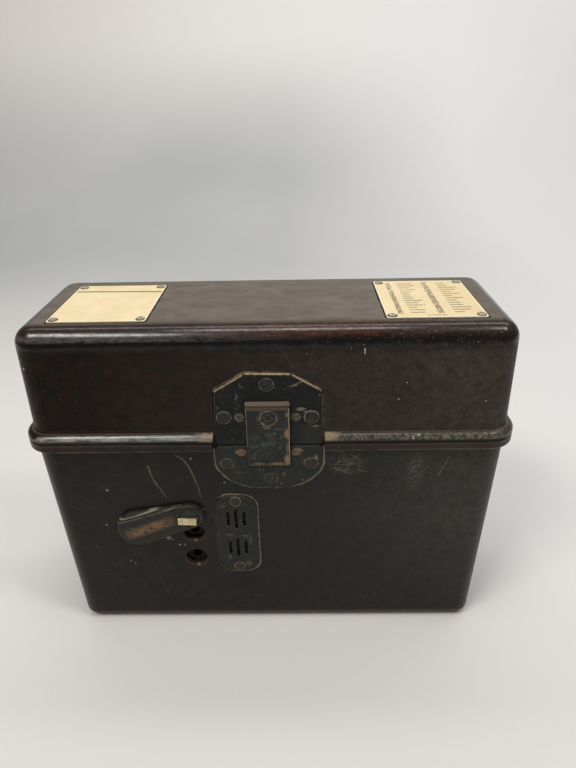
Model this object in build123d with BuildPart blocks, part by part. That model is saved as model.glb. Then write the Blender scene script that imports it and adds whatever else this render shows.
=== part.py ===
from build123d import *
import math
import os

os.makedirs("parts", exist_ok=True)

# Field telephone in a moulded two-part case. Millimetres, +Z up, X to the
# right, the latch side faces -Y, origin at the middle of the underside.

# ------------------------------------------------------------ driving sizes
CASE_W = 275.0  # width over the walls at the seam
CASE_D = 93.0  # depth over the walls at the seam
CASE_H = 219.1  # height of the top face
FOOT_H = 0.8  # height of the corner pads
SEAM_Z = 151.5  # height of the seam between base and lid
SEAM_GAP = 0.3  # open joint between the two mouldings
BASE_DRAFT = 3.5  # each base wall leans in by this much at the bottom
LID_DRAFT = 1.8  # each lid wall leans in by this much at the top
WALL = 4.2  # moulded wall
FLOOR_T = 4.8  # moulded floor
CORNER_R = 12.8  # upright corner radius at the seam
TOP_R = 10.4  # rounding of the lid's top edge
BOTTOM_R = 7.0  # rounding of the base's bottom edge
BEAD = 4.1  # how far the bead round the seam stands out
BEAD_H = 5.5  # height of each half of the bead
YF = -48.5  # outside of the front wall at the seam
YB = YF + CASE_D  # outside of the rear wall at the seam
YC = YF + CASE_D / 2  # middle of the case

HINGE_Y = YB + 4.7  # lid hinge axis
HINGE_X = 80.0  # hinge centres, left and right
KNUCKLE_R = 3.4
PLATE_T = 2.2  # latch plates
PLATE_SINK = 1.2  # depth of the latch recess
PIN_V = 23.6  # latch pin above the seam
PIN_SINK = 0.1  # latch pin below the lid's front wall
PIN_R = 0.9
PANEL_Z = 118.0  # underside of the inner panel
PANEL_T = 4.0
PANEL_TOP = PANEL_Z + PANEL_T

PIVOT = (-50.5, 96.0)  # socket flap pivot, X and Z
SOCKETS = ((-49.9, 80.7), (-49.9, 59.1))  # socket centres, X and Z
GRILLE = (-22.0, 79.0)  # speaker grille centre, X and Z

GEN_Y = -4.0  # generator axis line
DRIVE_Z = 71.0  # crank shaft height
MODULE = 1.0
GEAR_N = 60
PINION_N = 12
ARM_Z = DRIVE_Z - MODULE * (GEAR_N + PINION_N) / 2

PHONE_Y = 7.0  # handset centre line
CUP_X = 78.0  # handset cup centres, left and right

# --------------------------------------------------------- derived geometry
BASE_TOP = SEAM_Z - SEAM_GAP / 2
LID_BOT = SEAM_Z + SEAM_GAP / 2
BASE_A = math.atan(BASE_DRAFT / (BASE_TOP - FOOT_H))
LID_A = math.atan(LID_DRAFT / (CASE_H - LID_BOT))
sb, cb = math.sin(BASE_A), math.cos(BASE_A)
sl, cl = math.sin(LID_A), math.cos(LID_A)

# Work planes that lie on the leaning walls, each with its origin on the seam.
# The walls reach their full size just short of the seam, so their planes meet
# the seam's height a little further out.
out_b = SEAM_GAP / 2 * math.tan(BASE_A)
out_l = SEAM_GAP / 2 * math.tan(LID_A)
base_front = Plane(origin=(0, YF - out_b, SEAM_Z), x_dir=(1, 0, 0), z_dir=(0, -cb, -sb))
lid_front = Plane(origin=(0, YF - out_l, SEAM_Z), x_dir=(1, 0, 0), z_dir=(0, -cl, sl))
base_rear = Plane(origin=(0, YB + out_b, SEAM_Z), x_dir=(-1, 0, 0), z_dir=(0, cb, -sb))
lid_rear = Plane(origin=(0, YB + out_l, SEAM_Z), x_dir=(-1, 0, 0), z_dir=(0, cl, sl))
top_face = Plane.XY.offset(CASE_H)

# Latch pin axis
PIN_Y = YF - out_l + PIN_V * sl + PIN_SINK * cl
PIN_Z = SEAM_Z + PIN_V * cl - PIN_SINK * sl

UPPER_PLATE = [(-30.7, -2.6), (31, -2.6), (31, 31.5), (13.5, 42), (-12, 42.6), (-29, 32.4)]
UPPER_ROUND = [1.8, 1.8, 4.5, 5, 5, 3.5]
LOWER_PLATE = [
    (-31, -3.3),
    (31, -3.3),
    (31, -18.5),
    (25.5, -27.0),
    (13.5, -34.1),
    (-13.5, -34.1),
    (-25.5, -27.0),
    (-31, -18.5),
]
LOWER_ROUND = [1.8, 1.8, 14, 24, 28, 28, 24, 14]
LID_SCREWS = [(0, 35.8, 20), (-24.5, 15.5, -35), (24.5, 15.5, 75)]
BASE_SCREWS = [(-24.5, -16.0, 40), (24.5, -16.0, -60), (0.8, -26.8, 80)]
LID_RIVETS = [(-15.8, 15.5), (15.8, 15.5)]
BASE_RIVETS = [(-15.5, -8.1), (15.5, -8.1)]


def round_corners(sketch, outline, radii):
    """Fillets each corner of an outline in the sketch that is being drawn."""
    for (x, y), radius in zip(outline, radii):
        spot = [v for v in sketch.vertices() if abs(v.X - x) < 0.01 and abs(v.Y - y) < 0.01]
        fillet(spot, radius=radius)


def gear_points(teeth, module, phase):
    """Outline of a spur gear with straight-sided teeth and free play."""
    r = teeth * module / 2
    ra, rr = r + 0.85 * module, r - 1.2 * module
    tip, pitch, root = 0.30 * module, 0.60 * module, 0.92 * module
    pts = []
    for i in range(teeth):
        a = phase + 2 * math.pi * i / teeth
        for radius, half in ((rr, -root), (r, -pitch), (ra, -tip), (ra, tip), (r, pitch), (rr, root)):
            b = a + half / radius
            pts.append((radius * math.cos(b), radius * math.sin(b)))
    return pts


# ======================================================== case base moulding
with BuildPart() as base_core:
    with BuildSketch(Plane.XY.offset(FOOT_H + FLOOR_T)):
        with Locations((0, YC)):
            inset = BASE_DRAFT - FLOOR_T * math.tan(BASE_A)
            RectangleRounded(
                CASE_W - 2 * WALL - 2 * inset, CASE_D - 2 * WALL - 2 * inset, 5.3
            )
    extrude(amount=BASE_TOP - FOOT_H - FLOOR_T, taper=-math.degrees(BASE_A))
    fillet(base_core.edges().group_by(Axis.Z)[0], radius=3)
    with BuildSketch(Plane.XY.offset(BASE_TOP - 0.01)):
        with Locations((0, YC)):
            RectangleRounded(
                CASE_W - 2 * WALL, CASE_D - 2 * WALL, CORNER_R - WALL
            )
    extrude(amount=10)

with BuildPart() as base_band:
    with BuildSketch(Plane.XY.offset(SEAM_Z - BEAD_H)):
        with Locations((0, YC)):
            RectangleRounded(CASE_W + 2 * BEAD, CASE_D + 2 * BEAD, CORNER_R + BEAD)
    extrude(amount=BASE_TOP - SEAM_Z + BEAD_H)
    fillet(base_band.edges().group_by(Axis.Z)[0], radius=1.2)
    fillet(base_band.edges().group_by(Axis.Z)[-1], radius=0.5)

with BuildPart() as case_base:
    with BuildSketch(Plane.XY.offset(FOOT_H)):
        with Locations((0, YC)):
            RectangleRounded(
                CASE_W - 2 * BASE_DRAFT, CASE_D - 2 * BASE_DRAFT, CORNER_R - BASE_DRAFT
            )
    extrude(amount=BASE_TOP - FOOT_H, taper=-math.degrees(BASE_A))
    fillet(case_base.edges().group_by(Axis.Z)[0], radius=BOTTOM_R)
    # corner pads
    with BuildSketch(Plane.XY):
        with Locations(
            (118, YC + 26.5), (-118, YC + 26.5), (118, YC - 26.5), (-118, YC - 26.5)
        ):
            RectangleRounded(25, 25, 5)
    extrude(amount=FOOT_H + 2.6)
    # lower half of the bead, a flat band
    add(base_band.part)
    # bead stops at the latch and at the hinges
    with BuildSketch(base_front):
        with Locations((0, -3)):
            Rectangle(62.6, 14)
    extrude(amount=8, mode=Mode.SUBTRACT)
    with BuildSketch(base_rear):
        with Locations((HINGE_X, -3), (-HINGE_X, -3)):
            Rectangle(41, 14)
    extrude(amount=8, mode=Mode.SUBTRACT)
    # hollow
    add(base_core.part, mode=Mode.SUBTRACT)
    # locating lip that stands inside the lid
    with BuildSketch(Plane.XY.offset(BASE_TOP - 2)):
        with Locations((0, YC)):
            RectangleRounded(CASE_W - 4.6, CASE_D - 4.6, CORNER_R - 2.3)
            RectangleRounded(
                CASE_W - 2 * WALL, CASE_D - 2 * WALL, CORNER_R - WALL, mode=Mode.SUBTRACT
            )
    extrude(amount=5.6)
    # corner posts under the inner panel
    with BuildSketch(Plane.XY.offset(FOOT_H + FLOOR_T - 1)):
        with Locations(
            (125.5, YC + 34.5), (-125.5, YC + 34.5), (125.5, YC - 34.5), (-125.5, YC - 34.5)
        ):
            Circle(4.5)
    extrude(amount=PANEL_Z - FOOT_H - FLOOR_T + 1)
    with BuildSketch(Plane.XY.offset(PANEL_Z)):
        with Locations(
            (125.5, YC + 34.5), (-125.5, YC + 34.5), (125.5, YC - 34.5), (-125.5, YC - 34.5)
        ):
            Circle(1.8)
    extrude(amount=-9, mode=Mode.SUBTRACT)
    # recess for the lower latch plate
    with BuildSketch(base_front.offset(-PLATE_SINK)) as lower_recess:
        Polygon(*LOWER_PLATE, align=None)
        round_corners(lower_recess, LOWER_PLATE[2:], LOWER_ROUND[2:])
        with Locations((0, -1)):
            Rectangle(62, 6)
        offset(amount=0.9, kind=Kind.ARC)
    extrude(amount=8, mode=Mode.SUBTRACT)
    with BuildSketch(base_front.offset(-3.0)):
        with Locations(*[(x, v) for x, v, _ in BASE_SCREWS]):
            Circle(1.5)
        with Locations(*BASE_RIVETS):
            Circle(1.1)
        with Locations((0, -13.3)):
            Rectangle(12, 3.8)
    extrude(amount=3, mode=Mode.SUBTRACT)
    # recess and window behind the grille
    with BuildSketch(base_front.offset(-0.8)):
        with Locations((GRILLE[0], GRILLE[1] - SEAM_Z)):
            RectangleRounded(27.2, 65.6, 10)
    extrude(amount=2, mode=Mode.SUBTRACT)
    with BuildSketch(base_front.offset(-8)):
        with Locations((GRILLE[0], GRILLE[1] + 2 - SEAM_Z)):
            RectangleRounded(17, 44, 4)
    extrude(amount=9, mode=Mode.SUBTRACT)
    with BuildSketch(base_front.offset(-3.4)):
        with Locations((-22.2, 51.6 - SEAM_Z), (-21.8, 106.8 - SEAM_Z)):
            Circle(1.3)
    extrude(amount=4, mode=Mode.SUBTRACT)
    # socket holes and the flap's pivot hole
    with BuildSketch(base_front.offset(-8)):
        with Locations(*[(x, z - SEAM_Z) for x, z in SOCKETS]):
            Circle(6.4)
        with Locations((PIVOT[0], PIVOT[1] - SEAM_Z)):
            Circle(2.53)
    extrude(amount=9, mode=Mode.SUBTRACT)
    with BuildSketch(base_front.offset(-1.1)):
        with Locations(*[(x, z - SEAM_Z) for x, z in SOCKETS]):
            Circle(6.4)
    extrude(amount=1.2, taper=-35, mode=Mode.SUBTRACT)
    # crank port in the right wall
    with BuildSketch(Plane.YZ.offset(125)):
        with Locations((GEN_Y, DRIVE_Z)):
            Circle(9)
    extrude(amount=20, mode=Mode.SUBTRACT)
case_base.part.label = "case_base"
export_step(case_base.part, "parts/case_base.step")

# ============================================================== lid moulding
with BuildPart() as lid_core:
    with BuildSketch(Plane.XY.offset(LID_BOT)):
        with Locations((0, YC)):
            RectangleRounded(CASE_W - 2 * WALL, CASE_D - 2 * WALL, CORNER_R - WALL)
    extrude(amount=CASE_H - 4.5 - LID_BOT, taper=math.degrees(LID_A))
    fillet(lid_core.edges().group_by(Axis.Z)[-1], radius=6)

with BuildPart() as lid_bead:
    with BuildSketch(Plane.XY.offset(LID_BOT)):
        with Locations((0, YC)):
            RectangleRounded(CASE_W + 2 * BEAD, CASE_D + 2 * BEAD, CORNER_R + BEAD)
    extrude(amount=BEAD_H - SEAM_GAP / 2)
    fillet(lid_bead.edges().group_by(Axis.Z)[-1], radius=3.6)
    fillet(lid_bead.edges().group_by(Axis.Z)[0], radius=0.6)

with BuildPart() as lid_shell:
    with BuildSketch(Plane.XY.offset(LID_BOT)):
        with Locations((0, YC)):
            RectangleRounded(CASE_W, CASE_D, CORNER_R)
    extrude(amount=CASE_H - LID_BOT, taper=math.degrees(LID_A))
    fillet(lid_shell.edges().group_by(Axis.Z)[-1], radius=TOP_R)
    add(lid_bead.part)
    with BuildSketch(lid_front):
        with Locations((0, 3)):
            Rectangle(62.6, 14)
    extrude(amount=8, mode=Mode.SUBTRACT)
    with BuildSketch(lid_rear):
        with Locations((HINGE_X, 3), (-HINGE_X, 3)):
            Rectangle(41, 14)
    extrude(amount=8, mode=Mode.SUBTRACT)
    add(lid_core.part, mode=Mode.SUBTRACT)
    # rebate over the base's lip
    with BuildSketch(Plane.XY.offset(LID_BOT - 1)):
        with Locations((0, YC)):
            RectangleRounded(CASE_W - 3.8, CASE_D - 3.8, CORNER_R - 1.9)
    extrude(amount=5.2, mode=Mode.SUBTRACT)
    # recess for the upper latch plate
    with BuildSketch(lid_front.offset(-PLATE_SINK)) as upper_recess:
        Polygon(*UPPER_PLATE, align=None)
        round_corners(upper_recess, UPPER_PLATE[2:], UPPER_ROUND[2:])
        offset(amount=0.9, kind=Kind.ARC)
    extrude(amount=8, mode=Mode.SUBTRACT)
    with BuildSketch(lid_front.offset(-3.1)):
        with Locations((0, 22.8)):
            Rectangle(35, 8.4)
    extrude(amount=3, mode=Mode.SUBTRACT)
    with BuildSketch(lid_front.offset(-3.2)):
        with Locations(*[(x, v) for x, v, _ in LID_SCREWS]):
            Circle(1.5)
        with Locations(*LID_RIVETS):
            Circle(1.1)
    extrude(amount=3, mode=Mode.SUBTRACT)
lid_shell.part.label = "lid_shell"
export_step(lid_shell.part, "parts/lid_shell.step")

with BuildPart() as lid_gasket:
    with BuildSketch(Plane.XY.offset(LID_BOT + 3.6)):
        with Locations((0, YC)):
            RectangleRounded(CASE_W - 4.4, CASE_D - 4.4, CORNER_R - 2.2)
            RectangleRounded(CASE_W - 8.6, CASE_D - 8.6, CORNER_R - 4.3, mode=Mode.SUBTRACT)
    extrude(amount=0.6)
lid_gasket.part.label = "lid_gasket"
export_step(lid_gasket.part, "parts/lid_gasket.step")

# ==================================================================== hinges
with BuildPart() as base_hinge_leaves:
    with BuildSketch(base_rear):
        with Locations((HINGE_X, -14.6), (-HINGE_X, -14.6)):
            RectangleRounded(38, 20, 2)
    extrude(amount=1.6)
    with BuildSketch(Plane.YZ.offset(-HINGE_X - 19)):
        with Locations((YB + 1.95, SEAM_Z - 3.0)):
            Rectangle(5.5, 5.4)
        with Locations((HINGE_Y, SEAM_Z)):
            Circle(KNUCKLE_R)
    extrude(amount=11.8)
    with BuildSketch(Plane.YZ.offset(-HINGE_X + 7.2)):
        with Locations((YB + 1.95, SEAM_Z - 3.0)):
            Rectangle(5.5, 5.4)
        with Locations((HINGE_Y, SEAM_Z)):
            Circle(KNUCKLE_R)
    extrude(amount=11.8)
    with BuildSketch(Plane.YZ.offset(HINGE_X - 19)):
        with Locations((YB + 1.95, SEAM_Z - 3.0)):
            Rectangle(5.5, 5.4)
        with Locations((HINGE_Y, SEAM_Z)):
            Circle(KNUCKLE_R)
    extrude(amount=11.8)
    with BuildSketch(Plane.YZ.offset(HINGE_X + 7.2)):
        with Locations((YB + 1.95, SEAM_Z - 3.0)):
            Rectangle(5.5, 5.4)
        with Locations((HINGE_Y, SEAM_Z)):
            Circle(KNUCKLE_R)
    extrude(amount=11.8)
    # trim everything that would enter the wall
    with BuildSketch(base_rear):
        with Locations((0, -14)):
            Rectangle(260, 60)
    extrude(amount=-12, mode=Mode.SUBTRACT)
    with BuildSketch(Plane.YZ.offset(-HINGE_X - 30)):
        with Locations((HINGE_Y, SEAM_Z)):
            Circle(1.6)
    extrude(amount=2 * HINGE_X + 60, mode=Mode.SUBTRACT)
    with BuildSketch(base_rear):
        with Locations(
            (HINGE_X + 11, -16), (HINGE_X - 11, -16), (-HINGE_X + 11, -16), (-HINGE_X - 11, -16)
        ):
            Circle(1.5)
    extrude(amount=3, mode=Mode.SUBTRACT)
base_hinge_leaves.part.label = "base_hinge_leaves"
export_step(base_hinge_leaves.part, "parts/base_hinge_leaves.step")

with BuildPart() as lid_hinge_leaves:
    with BuildSketch(lid_rear):
        with Locations((HINGE_X, 14.6), (-HINGE_X, 14.6)):
            RectangleRounded(38, 20, 2)
    extrude(amount=1.6)
    with BuildSketch(Plane.YZ.offset(-HINGE_X - 6.8)):
        with Locations((YB + 1.95, SEAM_Z + 3.0)):
            Rectangle(5.5, 5.4)
        with Locations((HINGE_Y, SEAM_Z)):
            Circle(KNUCKLE_R)
    extrude(amount=13.6)
    with BuildSketch(Plane.YZ.offset(HINGE_X - 6.8)):
        with Locations((YB + 1.95, SEAM_Z + 3.0)):
            Rectangle(5.5, 5.4)
        with Locations((HINGE_Y, SEAM_Z)):
            Circle(KNUCKLE_R)
    extrude(amount=13.6)
    with BuildSketch(lid_rear):
        with Locations((0, 14)):
            Rectangle(260, 60)
    extrude(amount=-12, mode=Mode.SUBTRACT)
    with BuildSketch(Plane.YZ.offset(-HINGE_X - 30)):
        with Locations((HINGE_Y, SEAM_Z)):
            Circle(1.65)
    extrude(amount=2 * HINGE_X + 60, mode=Mode.SUBTRACT)
    with BuildSketch(lid_rear):
        with Locations(
            (HINGE_X + 11, 16), (HINGE_X - 11, 16), (-HINGE_X + 11, 16), (-HINGE_X - 11, 16)
        ):
            Circle(1.5)
    extrude(amount=3, mode=Mode.SUBTRACT)
lid_hinge_leaves.part.label = "lid_hinge_leaves"
export_step(lid_hinge_leaves.part, "parts/lid_hinge_leaves.step")

with BuildPart() as hinge_pins:
    with BuildSketch(Plane.YZ.offset(-HINGE_X - 19.5)):
        with Locations((HINGE_Y, SEAM_Z)):
            Circle(1.6)
    extrude(amount=39)
    with BuildSketch(Plane.YZ.offset(HINGE_X - 19.5)):
        with Locations((HINGE_Y, SEAM_Z)):
            Circle(1.6)
    extrude(amount=39)
hinge_pins.part.label = "hinge_pins"
export_step(hinge_pins.part, "parts/hinge_pins.step")

HINGE_SCREWS = [(HINGE_X + 11), (HINGE_X - 11), (-HINGE_X + 11), (-HINGE_X - 11)]
with BuildPart() as base_hinge_screws:
    with BuildSketch(base_rear.offset(1.6)):
        with Locations(*[(x, -16) for x in HINGE_SCREWS]):
            Circle(2.9)
    extrude(amount=1.4)
    fillet(
        base_hinge_screws.edges().group_by(Axis((0, YB, SEAM_Z), (0, cb, -sb)))[-1],
        radius=0.9,
    )
    with BuildSketch(base_rear.offset(2.3)):
        with Locations(*[(x, -16) for x in HINGE_SCREWS]):
            Rectangle(7, 0.8, rotation=25)
    extrude(amount=2, mode=Mode.SUBTRACT)
    with BuildSketch(base_rear):
        with Locations(*[(x, -16) for x in HINGE_SCREWS]):
            Circle(1.5)
    extrude(amount=1.6)
base_hinge_screws.part.label = "base_hinge_screws"
export_step(base_hinge_screws.part, "parts/base_hinge_screws.step")

with BuildPart() as lid_hinge_screws:
    with BuildSketch(lid_rear.offset(1.6)):
        with Locations(*[(x, 16) for x in HINGE_SCREWS]):
            Circle(2.9)
    extrude(amount=1.4)
    fillet(
        lid_hinge_screws.edges().group_by(Axis((0, YB, SEAM_Z), (0, cl, sl)))[-1],
        radius=0.9,
    )
    with BuildSketch(lid_rear.offset(2.3)):
        with Locations(*[(x, 16) for x in HINGE_SCREWS]):
            Rectangle(7, 0.8, rotation=-40)
    extrude(amount=2, mode=Mode.SUBTRACT)
    with BuildSketch(lid_rear):
        with Locations(*[(x, 16) for x in HINGE_SCREWS]):
            Circle(1.5)
    extrude(amount=1.6)
lid_hinge_screws.part.label = "lid_hinge_screws"
export_step(lid_hinge_screws.part, "parts/lid_hinge_screws.step")

# ===================================================================== latch
with BuildPart() as latch_upper_plate:
    with BuildSketch(lid_front.offset(-PLATE_SINK)) as upper_outline:
        Polygon(*UPPER_PLATE, align=None)
        round_corners(upper_outline, UPPER_PLATE, UPPER_ROUND)
    extrude(amount=PLATE_T)
    chamfer(
        latch_upper_plate.edges().group_by(Axis((0, YF, SEAM_Z), (0, -cl, sl)))[-1],
        length=0.5,
    )
    with BuildSketch(lid_front.offset(-PLATE_SINK)):
        with Locations((0, 11.4)):
            Rectangle(25.4, 28.9)
    extrude(amount=PLATE_T, mode=Mode.SUBTRACT)
    with BuildSketch(lid_front.offset(-2.8)):
        with Locations((14.8, PIN_V), (-14.8, PIN_V)):
            Rectangle(4.2, 3.8)
    extrude(amount=1.7)
    with BuildSketch(Plane.YZ.offset(-30)):
        with Locations((PIN_Y, PIN_Z)):
            Circle(0.9)
    extrude(amount=60, mode=Mode.SUBTRACT)
    with BuildSketch(lid_front.offset(-3)):
        with Locations(*[(x, v) for x, v, _ in LID_SCREWS]):
            Circle(1.5)
        with Locations(*LID_RIVETS):
            Circle(1.1)
    extrude(amount=6, mode=Mode.SUBTRACT)
latch_upper_plate.part.label = "latch_upper_plate"
export_step(latch_upper_plate.part, "parts/latch_upper_plate.step")

with BuildPart() as latch_lower_plate:
    with BuildSketch(base_front.offset(-PLATE_SINK)) as lower_outline:
        Polygon(*LOWER_PLATE, align=None)
        round_corners(lower_outline, LOWER_PLATE, LOWER_ROUND)
    extrude(amount=PLATE_T)
    chamfer(
        latch_lower_plate.edges().group_by(Axis((0, YF, SEAM_Z), (0, -cb, -sb)))[-1],
        length=0.5,
    )
    with BuildSketch(base_front.offset(-3)):
        with Locations(*[(x, v) for x, v, _ in BASE_SCREWS]):
            Circle(1.5)
        with Locations(*BASE_RIVETS):
            Circle(1.1)
        with Locations((0, -13.3)):
            Rectangle(11.8, 3.6)
    extrude(amount=6, mode=Mode.SUBTRACT)
latch_lower_plate.part.label = "latch_lower_plate"
export_step(latch_lower_plate.part, "parts/latch_lower_plate.step")

with BuildPart() as lid_latch_screws:
    with BuildSketch(lid_front.offset(1.0)):
        with Locations(*[(x, v) for x, v, _ in LID_SCREWS]):
            Circle(3.7)
    extrude(amount=1.0)
    fillet(
        lid_latch_screws.edges().group_by(Axis((0, YF, SEAM_Z), (0, -cl, sl)))[-1],
        radius=0.75,
    )
    with BuildSketch(lid_front.offset(1.35)):
        for x, v, a in LID_SCREWS:
            with Locations((x, v)):
                Rectangle(8, 1.0, rotation=a)
    extrude(amount=2, mode=Mode.SUBTRACT)
    with BuildSketch(lid_front.offset(-3.1)):
        with Locations(*[(x, v) for x, v, _ in LID_SCREWS]):
            Circle(1.5)
    extrude(amount=4.1)
lid_latch_screws.part.label = "lid_latch_screws"
export_step(lid_latch_screws.part, "parts/lid_latch_screws.step")

with BuildPart() as base_latch_screws:
    with BuildSketch(base_front.offset(1.0)):
        with Locations(*[(x, v) for x, v, _ in BASE_SCREWS]):
            Circle(3.5)
    extrude(amount=0.9)
    fillet(
        base_latch_screws.edges().group_by(Axis((0, YF, SEAM_Z), (0, -cb, -sb)))[-1],
        radius=0.7,
    )
    with BuildSketch(base_front.offset(1.3)):
        for x, v, a in BASE_SCREWS:
            with Locations((x, v)):
                Rectangle(8, 1.0, rotation=a)
    extrude(amount=2, mode=Mode.SUBTRACT)
    with BuildSketch(base_front.offset(-2.9)):
        with Locations(*[(x, v) for x, v, _ in BASE_SCREWS]):
            Circle(1.5)
    extrude(amount=3.9)
base_latch_screws.part.label = "base_latch_screws"
export_step(base_latch_screws.part, "parts/base_latch_screws.step")

with BuildPart() as lid_latch_rivets:
    with BuildSketch(lid_front.offset(1.0)):
        with Locations(*LID_RIVETS):
            Circle(2.0)
    extrude(amount=0.7)
    fillet(
        lid_latch_rivets.edges().group_by(Axis((0, YF, SEAM_Z), (0, -cl, sl)))[-1],
        radius=0.6,
    )
    with BuildSketch(lid_front.offset(-3.1)):
        with Locations(*LID_RIVETS):
            Circle(1.1)
    extrude(amount=4.1)
lid_latch_rivets.part.label = "lid_latch_rivets"
export_step(lid_latch_rivets.part, "parts/lid_latch_rivets.step")

with BuildPart() as base_latch_rivets:
    with BuildSketch(base_front.offset(1.0)):
        with Locations(*BASE_RIVETS):
            Circle(2.0)
    extrude(amount=0.7)
    fillet(
        base_latch_rivets.edges().group_by(Axis((0, YF, SEAM_Z), (0, -cb, -sb)))[-1],
        radius=0.6,
    )
    with BuildSketch(base_front.offset(-2.9)):
        with Locations(*BASE_RIVETS):
            Circle(1.1)
    extrude(amount=3.9)
base_latch_rivets.part.label = "base_latch_rivets"
export_step(base_latch_rivets.part, "parts/base_latch_rivets.step")

# Tongue: a barrel round the pin, a flat blade and a lug that enters the slot
with BuildPart() as latch_tongue:
    with BuildSketch(Plane.YZ.offset(-12.1)):
        Polygon(
            (YF - 3.0, 135.6),
            (YF - 3.0, PIN_Z + 0.6),
            (PIN_Y - 0.4, PIN_Z + 1.4),
            (PIN_Y, PIN_Z),
            (PIN_Y, PIN_Z - 1.9),
            (YF + 0.85, PIN_Z - 2.6),
            (YF + 0.85, 152.6),
            (YF - 1.35, 150.2),
            (YF - 1.35, 135.6),
            align=None,
        )
        with Locations((PIN_Y, PIN_Z)):
            Circle(1.9)
    extrude(amount=24.2)
    fillet(
        latch_tongue.edges().filter_by(Axis.X).group_by(Axis.Z)[0].sort_by(Axis.Y)[0],
        radius=0.8,
    )
    with BuildSketch(Plane.XZ.offset(-(YF + 0.5))):
        with Locations((0, 138.2)):
            Rectangle(10.8, 2.4)
    extrude(amount=2.4)
    with BuildSketch(Plane.XZ.offset(-(YF - 2.65))):
        with Locations((0.3, 167.6)):
            Circle(6.1)
            Circle(5.3, mode=Mode.SUBTRACT)
            Circle(2.0)
    extrude(amount=2, mode=Mode.SUBTRACT)
    with BuildSketch(Plane.YZ.offset(-20)):
        with Locations((PIN_Y, PIN_Z)):
            Circle(0.95)
    extrude(amount=40, mode=Mode.SUBTRACT)
latch_tongue.part.label = "latch_tongue"
export_step(latch_tongue.part, "parts/latch_tongue.step")

with BuildPart() as latch_pin:
    with BuildSketch(Plane.YZ.offset(-16.9)):
        with Locations((PIN_Y, PIN_Z)):
            Circle(0.9)
    extrude(amount=33.8)
latch_pin.part.label = "latch_pin"
export_step(latch_pin.part, "parts/latch_pin.step")

# ============================================================ grille and flap
with BuildPart() as grille_plate:
    with BuildSketch(base_front.offset(-0.8)):
        with Locations((GRILLE[0], GRILLE[1] - SEAM_Z)):
            RectangleRounded(25.6, 64.0, 9.2)
    extrude(amount=1.8)
    chamfer(
        grille_plate.edges().group_by(Axis((0, YF, SEAM_Z), (0, -cb, -sb)))[-1],
        length=0.6,
    )
    with BuildSketch(base_front.offset(-2)):
        for x in (-27.1, -22.2, -17.1):
            tall = x == -22.2
            with Locations((x, 92.6 - SEAM_Z)):
                SlotOverall(15.8 if tall else 11.6, 2.2, rotation=90)
            with Locations((x, 68.4 - SEAM_Z)):
                SlotOverall(15.8 if tall else 11.6, 2.2, rotation=90)
        with Locations((-22.2, 51.6 - SEAM_Z), (-21.8, 106.8 - SEAM_Z)):
            Circle(1.3)
    extrude(amount=5, mode=Mode.SUBTRACT)
grille_plate.part.label = "grille_plate"
export_step(grille_plate.part, "parts/grille_plate.step")

with BuildPart() as grille_screws:
    with BuildSketch(base_front.offset(1.0)):
        with Locations((-22.2, 51.6 - SEAM_Z), (-21.8, 106.8 - SEAM_Z)):
            Circle(3.0)
    extrude(amount=0.8)
    fillet(
        grille_screws.edges().group_by(Axis((0, YF, SEAM_Z), (0, -cb, -sb)))[-1],
        radius=0.6,
    )
    with BuildSketch(base_front.offset(1.3)):
        with Locations((-22.2, 51.6 - SEAM_Z)):
            Rectangle(7, 0.9, rotation=60)
        with Locations((-21.8, 106.8 - SEAM_Z)):
            Rectangle(7, 0.9, rotation=10)
    extrude(amount=2, mode=Mode.SUBTRACT)
    with BuildSketch(base_front.offset(-3.2)):
        with Locations((-22.2, 51.6 - SEAM_Z), (-21.8, 106.8 - SEAM_Z)):
            Circle(1.3)
    extrude(amount=4.2)
grille_screws.part.label = "grille_screws"
export_step(grille_screws.part, "parts/grille_screws.step")

with BuildPart() as grille_gauze:
    with BuildSketch(base_front.offset(-1.25)):
        with Locations((GRILLE[0], GRILLE[1] + 2 - SEAM_Z)):
            RectangleRounded(16.6, 43.6, 3.8)
    extrude(amount=0.4)
grille_gauze.part.label = "grille_gauze"
export_step(grille_gauze.part, "parts/grille_gauze.step")

FLAP_A = math.radians(196)
with BuildPart() as socket_flap:
    with BuildSketch(base_front.offset(0.3)):
        with Locations((PIVOT[0], PIVOT[1] - SEAM_Z)):
            Circle(9.3)
        with Locations(
            (PIVOT[0] + 34.6 * math.cos(FLAP_A), PIVOT[1] - SEAM_Z + 34.6 * math.sin(FLAP_A))
        ):
            Circle(13.4)
        make_hull()
    extrude(amount=3.6)
    fillet(
        socket_flap.edges().group_by(Axis((0, YF, SEAM_Z), (0, -cb, -sb)))[-1],
        radius=2.4,
    )
    with BuildSketch(base_front.offset(2.3)):
        with Locations((PIVOT[0], PIVOT[1] - SEAM_Z)):
            Circle(6.5)
    extrude(amount=4, mode=Mode.SUBTRACT)
    with BuildSketch(base_front):
        with Locations((PIVOT[0], PIVOT[1] - SEAM_Z)):
            Circle(2.6)
    extrude(amount=4, mode=Mode.SUBTRACT)
socket_flap.part.label = "socket_flap"
export_step(socket_flap.part, "parts/socket_flap.step")

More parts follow.
